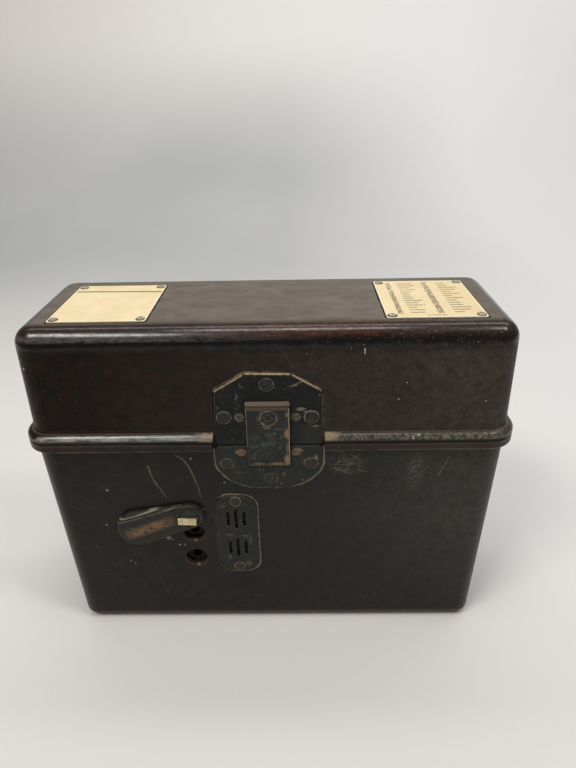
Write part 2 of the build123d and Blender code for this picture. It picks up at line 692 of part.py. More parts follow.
# Pivot screw: large slotted head in the flap's counterbore
with BuildPart() as flap_pivot_screw:
    with BuildSketch(base_front.offset(-4.0)):
        with Locations((PIVOT[0], PIVOT[1] - SEAM_Z)):
            Circle(2.53)
    extrude(amount=6.4)
    with BuildSketch(base_front.offset(2.4)):
        with Locations((PIVOT[0], PIVOT[1] - SEAM_Z)):
            Circle(6.0)
    extrude(amount=1.5)
    chamfer(
        flap_pivot_screw.edges().group_by(Axis((0, YF, SEAM_Z), (0, -cb, -sb)))[-1],
        length=0.4,
    )
    with BuildSketch(base_front.offset(3.0)):
        with Locations((PIVOT[0], PIVOT[1] + 1.9 - SEAM_Z)):
            Rectangle(13, 1.1, rotation=-4)
    extrude(amount=2, mode=Mode.SUBTRACT)
flap_pivot_screw.part.label = "flap_pivot_screw"
export_step(flap_pivot_screw.part, "parts/flap_pivot_screw.step")

# Lock tab: a bright strip bent over the lower half of the screw head
with BuildPart() as flap_lock_tab:
    with BuildSketch(base_front.offset(3.9)):
        with Locations((-52.0, 93.6 - SEAM_Z)):
            Rectangle(11.2, 4.9, rotation=-3)
    extrude(amount=0.6)
flap_lock_tab.part.label = "flap_lock_tab"
export_step(flap_lock_tab.part, "parts/flap_lock_tab.step")

# =================================================================== sockets
with BuildPart() as socket_block:
    with BuildSketch(base_front.offset(-26)):
        with Locations((-50, 70 - SEAM_Z)):
            RectangleRounded(24, 46, 3)
        with Locations(*[(x, z - SEAM_Z) for x, z in SOCKETS]):
            Circle(5.5, mode=Mode.SUBTRACT)
    extrude(amount=21.8)
socket_block.part.label = "socket_block"
export_step(socket_block.part, "parts/socket_block.step")

with BuildPart() as socket_sleeves:
    with BuildSketch(base_front.offset(-25)):
        with Locations(*[(x, z - SEAM_Z) for x, z in SOCKETS]):
            Circle(5.5)
            Circle(3.2, mode=Mode.SUBTRACT)
    extrude(amount=21.2)
socket_sleeves.part.label = "socket_sleeves"
export_step(socket_sleeves.part, "parts/socket_sleeves.step")

# ============================================================== label plates
LEFT_LABEL = (-91.6, YF + 43.8, 54.0, 60.0)
RIGHT_LABEL = (92.2, YF + 44.4, 54.2, 61.4)
LABEL_SCREWS = [
    (cx + sx * (w / 2 - 3.2), cy + sy * (d / 2 - 3.2))
    for cx, cy, w, d in (LEFT_LABEL, RIGHT_LABEL)
    for sx in (-1, 1)
    for sy in (-1, 1)
]
with BuildPart() as left_label_plate:
    with BuildSketch(top_face):
        with Locations(LEFT_LABEL[:2]):
            RectangleRounded(LEFT_LABEL[2], LEFT_LABEL[3], 1.5)
        with Locations(*LABEL_SCREWS[:4]):
            Circle(1.0, mode=Mode.SUBTRACT)
    extrude(amount=0.5)
left_label_plate.part.label = "left_label_plate"
export_step(left_label_plate.part, "parts/left_label_plate.step")

with BuildPart() as right_label_plate:
    with BuildSketch(top_face):
        with Locations(RIGHT_LABEL[:2]):
            RectangleRounded(RIGHT_LABEL[2], RIGHT_LABEL[3], 1.5)
        with Locations(*LABEL_SCREWS[4:]):
            Circle(1.0, mode=Mode.SUBTRACT)
    extrude(amount=0.5)
right_label_plate.part.label = "right_label_plate"
export_step(right_label_plate.part, "parts/right_label_plate.step")

with BuildPart() as label_screws:
    with BuildSketch(top_face.offset(0.5)):
        with Locations(*LABEL_SCREWS):
            Circle(2.1)
    extrude(amount=0.8)
    fillet(label_screws.edges().group_by(Axis.Z)[-1], radius=0.6)
    with BuildSketch(top_face.offset(0.9)):
        for i, p in enumerate(LABEL_SCREWS):
            with Locations(p):
                Rectangle(5, 0.6, rotation=23 * i)
    extrude(amount=2, mode=Mode.SUBTRACT)
    with BuildSketch(top_face):
        with Locations(*LABEL_SCREWS):
            Circle(1.0)
    extrude(amount=0.5)
label_screws.part.label = "label_screws"
export_step(label_screws.part, "parts/label_screws.step")

with BuildPart() as inner_diagram_plate:
    with BuildSketch(Plane.XY.offset(CASE_H - 5.0)):
        with Locations((0, YC)):
            RectangleRounded(180, 54, 3)
    extrude(amount=0.5)
inner_diagram_plate.part.label = "inner_diagram_plate"
export_step(inner_diagram_plate.part, "parts/inner_diagram_plate.step")

# =============================================================== inner panel
TERM_X = -121.0
TERM_Y = (-19.0, 12.0)
BUTTON_Y = -3.5
CRANK_Y = -33.5
with BuildPart() as inner_panel:
    with BuildSketch(Plane.XY.offset(PANEL_Z)):
        with Locations((0, YC)):
            RectangleRounded(264, 82, 8.4)
        with Locations(
            (125.5, YC + 34.5), (-125.5, YC + 34.5), (125.5, YC - 34.5), (-125.5, YC - 34.5)
        ):
            Circle(1.8, mode=Mode.SUBTRACT)
        with Locations(*[(TERM_X, y) for y in TERM_Y]):
            Circle(2.5, mode=Mode.SUBTRACT)
    extrude(amount=PANEL_T)
    # collar round the test button
    with BuildSketch(Plane.XY.offset(PANEL_Z - 4)):
        with Locations((TERM_X, BUTTON_Y)):
            Circle(6.4)
    extrude(amount=PANEL_T + 6)
    with BuildSketch(Plane.XY.offset(PANEL_Z - 5)):
        with Locations((TERM_X, BUTTON_Y)):
            Circle(3.6)
    extrude(amount=PANEL_T + 8, mode=Mode.SUBTRACT)
    # seats for the handset's two cups
    with BuildSketch(Plane.XY.offset(PANEL_TOP)):
        with Locations((CUP_X, PHONE_Y), (-CUP_X, PHONE_Y)):
            Circle(30.8)
            Circle(27.7, mode=Mode.SUBTRACT)
    extrude(amount=6)
    # two forks that hold the stowed crank
    with BuildSketch(Plane.YZ.offset(-18)):
        with Locations((CRANK_Y, PANEL_TOP + 2.8)):
            Rectangle(14, 5.6)
        with Locations((CRANK_Y - 6.2, PANEL_TOP + 6), (CRANK_Y + 6.2, PANEL_TOP + 6)):
            Rectangle(1.6, 12)
    extrude(amount=10)
    with BuildSketch(Plane.YZ.offset(18)):
        with Locations((CRANK_Y, PANEL_TOP + 2.8)):
            Rectangle(14, 5.6)
        with Locations((CRANK_Y - 6.2, PANEL_TOP + 6), (CRANK_Y + 6.2, PANEL_TOP + 6)):
            Rectangle(1.6, 12)
    extrude(amount=10)
inner_panel.part.label = "inner_panel"
export_step(inner_panel.part, "parts/inner_panel.step")

with BuildPart() as panel_screws:
    with BuildSketch(Plane.XY.offset(PANEL_TOP)):
        with Locations(
            (125.5, YC + 34.5), (-125.5, YC + 34.5), (125.5, YC - 34.5), (-125.5, YC - 34.5)
        ):
            Circle(3.4)
    extrude(amount=1.8)
    fillet(panel_screws.edges().group_by(Axis.Z)[-1], radius=1.2)
    with BuildSketch(Plane.XY.offset(PANEL_TOP + 0.9)):
        with Locations(
            (125.5, YC + 34.5), (-125.5, YC + 34.5), (125.5, YC - 34.5), (-125.5, YC - 34.5)
        ):
            Rectangle(8, 0.9, rotation=35)
    extrude(amount=2, mode=Mode.SUBTRACT)
    with BuildSketch(Plane.XY.offset(PANEL_TOP)):
        with Locations(
            (125.5, YC + 34.5), (-125.5, YC + 34.5), (125.5, YC - 34.5), (-125.5, YC - 34.5)
        ):
            Circle(1.8)
    extrude(amount=-12)
panel_screws.part.label = "panel_screws"
export_step(panel_screws.part, "parts/panel_screws.step")

with BuildPart() as terminal_posts:
    with BuildSketch(Plane.XY.offset(PANEL_Z - 8)):
        with Locations(*[(TERM_X, y) for y in TERM_Y]):
            Circle(2.5)
    extrude(amount=8 + PANEL_T)
    with BuildSketch(Plane.XY.offset(PANEL_TOP)):
        with Locations(*[(TERM_X, y) for y in TERM_Y]):
            Circle(5.0)
    extrude(amount=7)
    with BuildSketch(Plane.XY.offset(PANEL_TOP - 2)):
        with Locations(*[(TERM_X, y) for y in TERM_Y]):
            Circle(1.7)
    extrude(amount=10, mode=Mode.SUBTRACT)
    with BuildSketch(Plane.YZ.offset(TERM_X - 8)):
        with Locations(*[(y, PANEL_TOP + 3.4) for y in TERM_Y]):
            Circle(1.25)
    extrude(amount=8, mode=Mode.SUBTRACT)
terminal_posts.part.label = "terminal_posts"
export_step(terminal_posts.part, "parts/terminal_posts.step")

with BuildPart() as front_terminal_knob:
    with BuildSketch(Plane.XY.offset(PANEL_TOP + 1.2)):
        with Locations((TERM_X, TERM_Y[0])):
            Circle(1.63)
    extrude(amount=9)
    with BuildSketch(Plane.XY.offset(PANEL_TOP + 10)):
        with Locations((TERM_X, TERM_Y[0])):
            Circle(6.2)
    extrude(amount=8)
    fillet(front_terminal_knob.edges().group_by(Axis.Z)[-1], radius=1.8)
    with BuildSketch(Plane.XY.offset(PANEL_TOP + 10)):
        with Locations((TERM_X, TERM_Y[0])):
            with PolarLocations(6.5, 18):
                Circle(0.55)
    extrude(amount=5.5, mode=Mode.SUBTRACT)
front_terminal_knob.part.label = "front_terminal_knob"
export_step(front_terminal_knob.part, "parts/front_terminal_knob.step")

with BuildPart() as rear_terminal_knob:
    with BuildSketch(Plane.XY.offset(PANEL_TOP + 1.2)):
        with Locations((TERM_X, TERM_Y[1])):
            Circle(1.63)
    extrude(amount=9)
    with BuildSketch(Plane.XY.offset(PANEL_TOP + 10)):
        with Locations((TERM_X, TERM_Y[1])):
            Circle(6.2)
    extrude(amount=8)
    fillet(rear_terminal_knob.edges().group_by(Axis.Z)[-1], radius=1.8)
    with BuildSketch(Plane.XY.offset(PANEL_TOP + 10)):
        with Locations((TERM_X, TERM_Y[1])):
            with PolarLocations(6.5, 18):
                Circle(0.55)
    extrude(amount=5.5, mode=Mode.SUBTRACT)
rear_terminal_knob.part.label = "rear_terminal_knob"
export_step(rear_terminal_knob.part, "parts/rear_terminal_knob.step")

with BuildPart() as test_button:
    with BuildSketch(Plane.XY.offset(PANEL_Z - 2)):
        with Locations((TERM_X, BUTTON_Y)):
            Circle(3.53)
    extrude(amount=PANEL_T + 7)
    fillet(test_button.edges().group_by(Axis.Z)[-1], radius=1.4)
test_button.part.label = "test_button"
export_step(test_button.part, "parts/test_button.step")

# =================================================================== handset
with BuildPart() as handset_body:
    with BuildSketch(Plane.XZ.offset(-(PHONE_Y + 12.5))):
        with BuildLine():
            ThreePointArc((-99, 161), (0, 188), (99, 161))
            Line((99, 161), (99, 150))
            Line((99, 150), (62, 150))
            ThreePointArc((62, 150), (0, 167), (-62, 150))
            Line((-62, 150), (-99, 150))
            Line((-99, 150), (-99, 161))
        make_face()
    extrude(amount=25)
    fillet(handset_body.edges().filter_by(GeomType.CIRCLE), radius=7)
    with BuildSketch(Plane.XY.offset(142)):
        with Locations((CUP_X, PHONE_Y), (-CUP_X, PHONE_Y)):
            Circle(25)
    extrude(amount=14, taper=0)
    with BuildSketch(Plane.XY.offset(156)):
        with Locations((CUP_X, PHONE_Y), (-CUP_X, PHONE_Y)):
            Circle(25)
    extrude(amount=7, taper=35)
    with BuildSketch(Plane.XY.offset(150)):
        with Locations((0, PHONE_Y)):
            Rectangle(52, 11.4)
    extrude(amount=23.5, mode=Mode.SUBTRACT)
    with BuildSketch(Plane.YZ.offset(95)):
        with Locations((PHONE_Y, 149)):
            Circle(4)
    extrude(amount=20, mode=Mode.SUBTRACT)
handset_body.part.label = "handset_body"
export_step(handset_body.part, "parts/handset_body.step")

with BuildPart() as earpiece_cap:
    with BuildSketch(Plane.XY.offset(122.5)):
        with Locations((-CUP_X, PHONE_Y)):
            Circle(27)
    extrude(amount=19.5)
    fillet(earpiece_cap.edges().group_by(Axis.Z)[0], radius=4)
    with BuildSketch(Plane.XY.offset(126.5)):
        with Locations((-CUP_X, PHONE_Y)):
            Circle(24)
    extrude(amount=20, mode=Mode.SUBTRACT)
    with BuildSketch(Plane.XY.offset(122)):
        with Locations((-CUP_X, PHONE_Y)):
            Circle(1.5)
            with PolarLocations(6, 6):
                Circle(1.5)
    extrude(amount=6, mode=Mode.SUBTRACT)
earpiece_cap.part.label = "earpiece_cap"
export_step(earpiece_cap.part, "parts/earpiece_cap.step")

with BuildPart() as mouthpiece_cap:
    with BuildSketch(Plane.XY.offset(122.5)):
        with Locations((CUP_X, PHONE_Y)):
            Circle(27)
    extrude(amount=19.5)
    fillet(mouthpiece_cap.edges().group_by(Axis.Z)[0], radius=4)
    with BuildSketch(Plane.XY.offset(126.5)):
        with Locations((CUP_X, PHONE_Y)):
            Circle(24)
    extrude(amount=20, mode=Mode.SUBTRACT)
    with BuildSketch(Plane.XY.offset(122)):
        with Locations((CUP_X, PHONE_Y)):
            with PolarLocations(5, 5):
                Circle(1.3)
            with PolarLocations(11, 10):
                Circle(1.3)
            with PolarLocations(17, 15):
                Circle(1.3)
    extrude(amount=6, mode=Mode.SUBTRACT)
mouthpiece_cap.part.label = "mouthpiece_cap"
export_step(mouthpiece_cap.part, "parts/mouthpiece_cap.step")

with BuildPart() as handset_capsules:
    with BuildSketch(Plane.XY.offset(126.9)):
        with Locations((-CUP_X, PHONE_Y), (CUP_X, PHONE_Y)):
            Circle(23.6)
    extrude(amount=7)
    with BuildSketch(Plane.XY.offset(133.9)):
        with Locations((-CUP_X, PHONE_Y)):
            Circle(17)
        with Locations((CUP_X, PHONE_Y)):
            Circle(14)
    extrude(amount=7)
handset_capsules.part.label = "handset_capsules"
export_step(handset_capsules.part, "parts/handset_capsules.step")

with BuildPart() as talk_bar:
    with BuildSketch(Plane.XY.offset(160.5)):
        with Locations((0, PHONE_Y)):
            RectangleRounded(50, 10.6, 2)
    extrude(amount=10)
    fillet(talk_bar.edges().group_by(Axis.Z)[0], radius=1.6)
talk_bar.part.label = "talk_bar"
export_step(talk_bar.part, "parts/talk_bar.step")

with BuildPart() as handset_gland:
    with BuildSketch(Plane.YZ.offset(95.5)):
        with Locations((PHONE_Y, 149)):
            Circle(4)
    extrude(amount=8)
    with BuildSketch(Plane.YZ.offset(103.5)):
        with Locations((PHONE_Y, 149)):
            Circle(5.5)
    extrude(amount=6, taper=12)
    with BuildSketch(Plane.YZ.offset(90)):
        with Locations((PHONE_Y, 149)):
            Circle(2.2)
    extrude(amount=30, mode=Mode.SUBTRACT)
handset_gland.part.label = "handset_gland"
export_step(handset_gland.part, "parts/handset_gland.step")

# ============================================================= stowed crank
with BuildPart() as crank_arm:
    with BuildSketch(Plane.XY.offset(128)):
        with Locations((5, CRANK_Y)):
            SlotOverall(92, 10)
    extrude(amount=4)
    with BuildSketch(Plane.XY.offset(124.5)):
        with Locations((46, CRANK_Y)):
            Circle(7)
    extrude(amount=16)
    fillet(crank_arm.edges().filter_by(GeomType.CIRCLE).group_by(Axis.Z)[-1], radius=1)
    with BuildSketch(Plane.XY.offset(134)):
        with Locations((46, CRANK_Y)):
            Rectangle(6.4, 6.4)
    extrude(amount=10, mode=Mode.SUBTRACT)
    with BuildSketch(Plane.XY.offset(132)):
        with Locations((-36, CRANK_Y)):
            Circle(2.5)
    extrude(amount=26)
    with BuildSketch(Plane.XY.offset(156.2)):
        with Locations((-36, CRANK_Y)):
            Circle(4)
    extrude(amount=1.8)
crank_arm.part.label = "crank_arm"
export_step(crank_arm.part, "parts/crank_arm.step")

with BuildPart() as crank_knob:
    with BuildSketch(Plane.XZ.offset(-CRANK_Y)):
        with BuildLine():
            Polyline((-33.45, 132.4), (-30, 132.4), (-28.6, 136))
            ThreePointArc((-28.6, 136), (-27.6, 145), (-29.5, 154))
            Polyline((-29.5, 154), (-31, 155.9), (-33.45, 155.9), (-33.45, 132.4))
        make_face()
    revolve(axis=Axis((-36, CRANK_Y, 0), (0, 0, 1)))
crank_knob.part.label = "crank_knob"
export_step(crank_knob.part, "parts/crank_knob.step")

# =================================================================== battery
with BuildPart() as battery_box:
    with BuildSketch(Plane.XY.offset(6)):
        with Locations((-99, -2)):
            RectangleRounded(54, 58, 3)
    extrude(amount=92)
    with BuildSketch(Plane.XY.offset(7)):
        with Locations((-99, -2)):
            RectangleRounded(52, 56, 2)
    extrude(amount=95, mode=Mode.SUBTRACT)
battery_box.part.label = "battery_box"
export_step(battery_box.part, "parts/battery_box.step")

with BuildPart() as battery_cell:
    with BuildSketch(Plane.XY.offset(7)):
        with Locations((-99, -2)):
            RectangleRounded(50, 54, 2)
    extrude(amount=84)
    with BuildSketch(Plane.XY.offset(91)):
        with Locations((-110, -2), (-88, -2)):
            Circle(4.5)
    extrude(amount=6)
    with BuildSketch(Plane.XY.offset(97)):
        with Locations((-110, -2), (-88, -2)):
            Circle(2)
    extrude(amount=4)
battery_cell.part.label = "battery_cell"
export_step(battery_cell.part, "parts/battery_cell.step")

# ====================================================================== bell
GONG_X = (-18.0, 30.0)
GONG_Z = 32.0
CLAP_X = 6.0
CLAP_Z = 63.0
with BuildPart() as bell_frame:
    with BuildSketch(Plane.XZ.offset(-4)):
        with Locations((6.5, 53)):
            RectangleRounded(88, 90, 3)
    extrude(amount=2.5)
    with BuildSketch(Plane.XZ.offset(-1.5)):
        with Locations(*[(x, GONG_Z) for x in GONG_X]):
            Circle(2.5)
    extrude(amount=22)
    with BuildSketch(Plane.XZ.offset(-1.5)):
        with Locations((CLAP_X, CLAP_Z)):
            Circle(1.8)
    extrude(amount=14)
    with BuildSketch(Plane.XY.offset(94)):
        with Locations((6, -7.25)):
            Rectangle(50, 22.5)
    extrude(amount=3)
bell_frame.part.label = "bell_frame"
export_step(bell_frame.part, "parts/bell_frame.step")

with BuildPart() as bell_gongs:
    for gx in GONG_X:
        with BuildSketch(Plane.XZ.offset(6)):
            with Locations((gx, GONG_Z)):
                Circle(19)
        extrude(amount=11, taper=14)
    fillet(bell_gongs.edges().group_by(Axis.Y)[0], radius=5)
    for gx in GONG_X:
        with BuildSketch(Plane.XZ.offset(4)):
            with Locations((gx, GONG_Z)):
                Circle(17.6)
        extrude(amount=10.6, taper=14, mode=Mode.SUBTRACT)
        with BuildSketch(Plane.XZ.offset(4)):
            with Locations((gx, GONG_Z)):
                Circle(2.5)
        extrude(amount=20, mode=Mode.SUBTRACT)
bell_gongs.part.label = "bell_gongs"
export_step(bell_gongs.part, "parts/bell_gongs.step")

with BuildPart() as bell_coils:
    with BuildSketch(Plane.XY.offset(68)):
        with Locations((-8, -9), (20, -9)):
            Circle(10)
    extrude(amount=2)
    with BuildSketch(Plane.XY.offset(70)):
        with Locations((-8, -9), (20, -9)):
            Circle(9)
    extrude(amount=22)
    with BuildSketch(Plane.XY.offset(92)):
        with Locations((-8, -9), (20, -9)):
            Circle(10)
    extrude(amount=2)
bell_coils.part.label = "bell_coils"
export_step(bell_coils.part, "parts/bell_coils.step")

with BuildPart() as clapper:
    with BuildSketch(Plane.XZ.offset(3.0)):
        with Locations((CLAP_X, CLAP_Z)):
            RectangleRounded(46, 5, 1)
            Circle(3.6)
        with Locations((CLAP_X, (CLAP_Z + GONG_Z) / 2)):
            Rectangle(2.2, CLAP_Z - GONG_Z)
    extrude(amount=3)
    with BuildSketch(Plane.XZ.offset(2.5)):
        with Locations((CLAP_X, GONG_Z)):
            Circle(3.4)
    extrude(amount=8)
    with BuildSketch(Plane.XZ.offset(-2)):
        with Locations((CLAP_X, CLAP_Z)):
            Circle(1.86)
    extrude(amount=12, mode=Mode.SUBTRACT)
clapper.part.label = "clapper"
export_step(clapper.part, "parts/clapper.step")

# ===================================================== line coil and capacitor
with BuildPart() as induction_coil:
    with BuildSketch(Plane.YZ.offset(-50)):
        with Locations((22, 30)):
            Rectangle(28, 28)
    extrude(amount=3)
    with BuildSketch(Plane.YZ.offset(-47)):
        with Locations((22, 30)):
            Circle(12.5)
    extrude(amount=44)
    with BuildSketch(Plane.YZ.offset(-3)):
        with Locations((22, 30)):
            Rectangle(28, 28)
    extrude(amount=3)
induction_coil.part.label = "induction_coil"
export_step(induction_coil.part, "parts/induction_coil.step")

with BuildPart() as capacitor:
    with BuildSketch(Plane.XY.offset(5.6)):
        with Locations((26, 21)):
            RectangleRounded(40, 26, 2)
    extrude(amount=58)
    with BuildSketch(Plane.XY.offset(63.6)):
        with Locations((16, 21), (36, 21)):
            Circle(2.2)
    extrude(amount=5)
capacitor.part.label = "capacitor"
export_step(capacitor.part, "parts/capacitor.step")

# ================================================================= generator
with BuildPart() as generator_frame:
    with BuildSketch(Plane.XY.offset(5.6)):
        with Locations((87.5, GEN_Y)):
            Rectangle(47, 62)
    extrude(amount=3.2)
    for x in (64, 108):
        with BuildSketch(Plane.YZ.offset(x)):
            with Locations((GEN_Y, 53)):
                RectangleRounded(62, 94.8, 6)
            with Locations((GEN_Y, DRIVE_Z)):
                Circle(7, mode=Mode.SUBTRACT)
            with Locations((GEN_Y, ARM_Z)):
                Circle(6, mode=Mode.SUBTRACT)
        extrude(amount=3)
generator_frame.part.label = "generator_frame"
export_step(generator_frame.part, "parts/generator_frame.step")

with BuildPart() as generator_bushes:
    for x in (64, 108):
        with BuildSketch(Plane.YZ.offset(x - 1)):
            with Locations((GEN_Y, DRIVE_Z)):
                Circle(7)
                Circle(4.05, mode=Mode.SUBTRACT)
            with Locations((GEN_Y, ARM_Z)):
                Circle(6)
                Circle(3.05, mode=Mode.SUBTRACT)
        extrude(amount=5)
generator_bushes.part.label = "generator_bushes"
export_step(generator_bushes.part, "parts/generator_bushes.step")

with BuildPart() as horseshoe_magnets:
    for x in (69.5, 82.2, 94.9):
        with BuildSketch(Plane.YZ.offset(x)):
            with Locations((GEN_Y, 66)):
                Circle(30)
            with Locations((GEN_Y, 38)):
                Rectangle(60, 56)
            with Locations((GEN_Y, 66)):
                Circle(21.5, mode=Mode.SUBTRACT)
            with Locations((GEN_Y, 37)):
                Rectangle(43, 58, mode=Mode.SUBTRACT)
        extrude(amount=11.6)
horseshoe_magnets.part.label = "horseshoe_magnets"
export_step(horseshoe_magnets.part, "parts/horseshoe_magnets.step")

with BuildPart() as pole_shoes:
    with BuildSketch(Plane.YZ.offset(69.5)):
        with Locations((GEN_Y - 13.25, ARM_Z), (GEN_Y + 13.25, ARM_Z)):
            Rectangle(16.5, 34)
        with Locations((GEN_Y, ARM_Z)):
            Circle(17.4, mode=Mode.SUBTRACT)
    extrude(amount=37)
pole_shoes.part.label = "pole_shoes"
export_step(pole_shoes.part, "parts/pole_shoes.step")

with BuildPart() as armature_core:
    with BuildSketch(Plane.YZ.offset(72)):
        with Locations((GEN_Y, ARM_Z)):
            Circle(17)
            with Locations((0, 11), (0, -11)):
                Rectangle(20, 12, mode=Mode.SUBTRACT)
    extrude(amount=32)
    with BuildSketch(Plane.YZ.offset(60)):
        with Locations((GEN_Y, ARM_Z)):
            Circle(3)
    extrude(amount=60)
armature_core.part.label = "armature_core"
export_step(armature_core.part, "parts/armature_core.step")

with BuildPart() as armature_winding:
    with BuildSketch(Plane.YZ.offset(73)):
        with Locations((GEN_Y, ARM_Z + 9), (GEN_Y, ARM_Z - 9)):
            RectangleRounded(19, 7.6, 2)
    extrude(amount=30)
armature_winding.part.label = "armature_winding"
export_step(armature_winding.part, "parts/armature_winding.step")

with BuildPart() as armature_pinion:
    with BuildSketch(Plane.YZ.offset(114.5)):
        with Locations((GEN_Y, ARM_Z)):
            Polygon(*gear_points(PINION_N, MODULE, math.pi / 2 + math.pi / PINION_N), align=None)
            Circle(3, mode=Mode.SUBTRACT)
    extrude(amount=5)
armature_pinion.part.label = "armature_pinion"
export_step(armature_pinion.part, "parts/armature_pinion.step")

with BuildPart() as drive_gear:
    with BuildSketch(Plane.YZ.offset(115)):
        with Locations((GEN_Y, DRIVE_Z)):
            Polygon(*gear_points(GEAR_N, MODULE, -math.pi / 2), align=None)
            with PolarLocations(17, 5):
                Circle(6, mode=Mode.SUBTRACT)
            Circle(4, mode=Mode.SUBTRACT)
    extrude(amount=4)
drive_gear.part.label = "drive_gear"
export_step(drive_gear.part, "parts/drive_gear.step")

with BuildPart() as drive_shaft:
    with BuildSketch(Plane.YZ.offset(61)):
        with Locations((GEN_Y, DRIVE_Z)):
            Circle(4)
    extrude(amount=63)
    with BuildSketch(Plane.YZ.offset(124)):
        with Locations((GEN_Y, DRIVE_Z)):
            Rectangle(5.4, 5.4)
    extrude(amount=6.2)
drive_shaft.part.label = "drive_shaft"
export_step(drive_shaft.part, "parts/drive_shaft.step")

with BuildPart() as crank_port_bush:
    with BuildSketch(Plane.YZ.offset(131)):
        with Locations((GEN_Y, DRIVE_Z)):
            Circle(9)
            Circle(6, mode=Mode.SUBTRACT)
    extrude(amount=5.2)
crank_port_bush.part.label = "crank_port_bush"
export_step(crank_port_bush.part, "parts/crank_port_bush.step")
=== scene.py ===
import math

import bmesh
import bpy
from mathutils import Matrix, Vector


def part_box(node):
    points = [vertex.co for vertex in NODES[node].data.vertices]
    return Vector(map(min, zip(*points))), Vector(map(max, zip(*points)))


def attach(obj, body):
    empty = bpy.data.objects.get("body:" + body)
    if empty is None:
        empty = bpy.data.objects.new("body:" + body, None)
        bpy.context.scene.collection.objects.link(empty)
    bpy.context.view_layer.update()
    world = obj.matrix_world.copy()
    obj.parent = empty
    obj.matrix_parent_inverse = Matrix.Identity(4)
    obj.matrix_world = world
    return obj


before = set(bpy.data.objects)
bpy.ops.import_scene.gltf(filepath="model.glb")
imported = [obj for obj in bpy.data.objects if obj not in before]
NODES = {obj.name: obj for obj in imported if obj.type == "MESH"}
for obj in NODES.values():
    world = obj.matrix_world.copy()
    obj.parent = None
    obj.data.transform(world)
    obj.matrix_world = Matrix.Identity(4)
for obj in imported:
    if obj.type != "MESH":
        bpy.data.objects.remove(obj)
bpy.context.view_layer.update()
scene = bpy.context.scene

# ------------------------------------------------------------ row geometry, mm
YF, SEAM = -48.5, 151.5
B_ANG = math.atan(3.5 / 150.55)
L_ANG = math.atan(1.8 / 67.45)
OB, OL = 0.15 * math.tan(B_ANG), 0.15 * math.tan(L_ANG)
TOP_Z = 219.1
UPPER_PLATE = [(-30.7, -2.6), (31, -2.6), (31, 31.5), (13.5, 42), (-12, 42.6), (-29, 32.4)]
UPPER_ROUND = [1.8, 1.8, 4.5, 5, 5, 3.5]
LOWER_ROUND = [1.8, 1.8, 14, 24, 28, 28, 24, 14]
LOWER_PLATE = [
    (-31, -3.3), (31, -3.3), (31, -18.5), (25.5, -27.0), (13.5, -34.1),
    (-13.5, -34.1), (-25.5, -27.0), (-31, -18.5),
]
FLAP_PIVOT = (-50.5, 96.0)
FLAP_DIR = math.radians(196)
LABELS = [(-91.6, -4.7, 54.0, 60.0), (92.2, -4.1, 54.2, 61.4)]


def base_front(x, v, n):
    """A point on the base's front wall: v up from the seam, n proud of it, in metres."""
    s, c = math.sin(B_ANG), math.cos(B_ANG)
    return Vector((x, YF - OB - v * s - n * c, SEAM + v * c - n * s)) / 1000


def lid_front(x, v, n):
    s, c = math.sin(L_ANG), math.cos(L_ANG)
    return Vector((x, YF - OL + v * s - n * c, SEAM + v * c + n * s)) / 1000


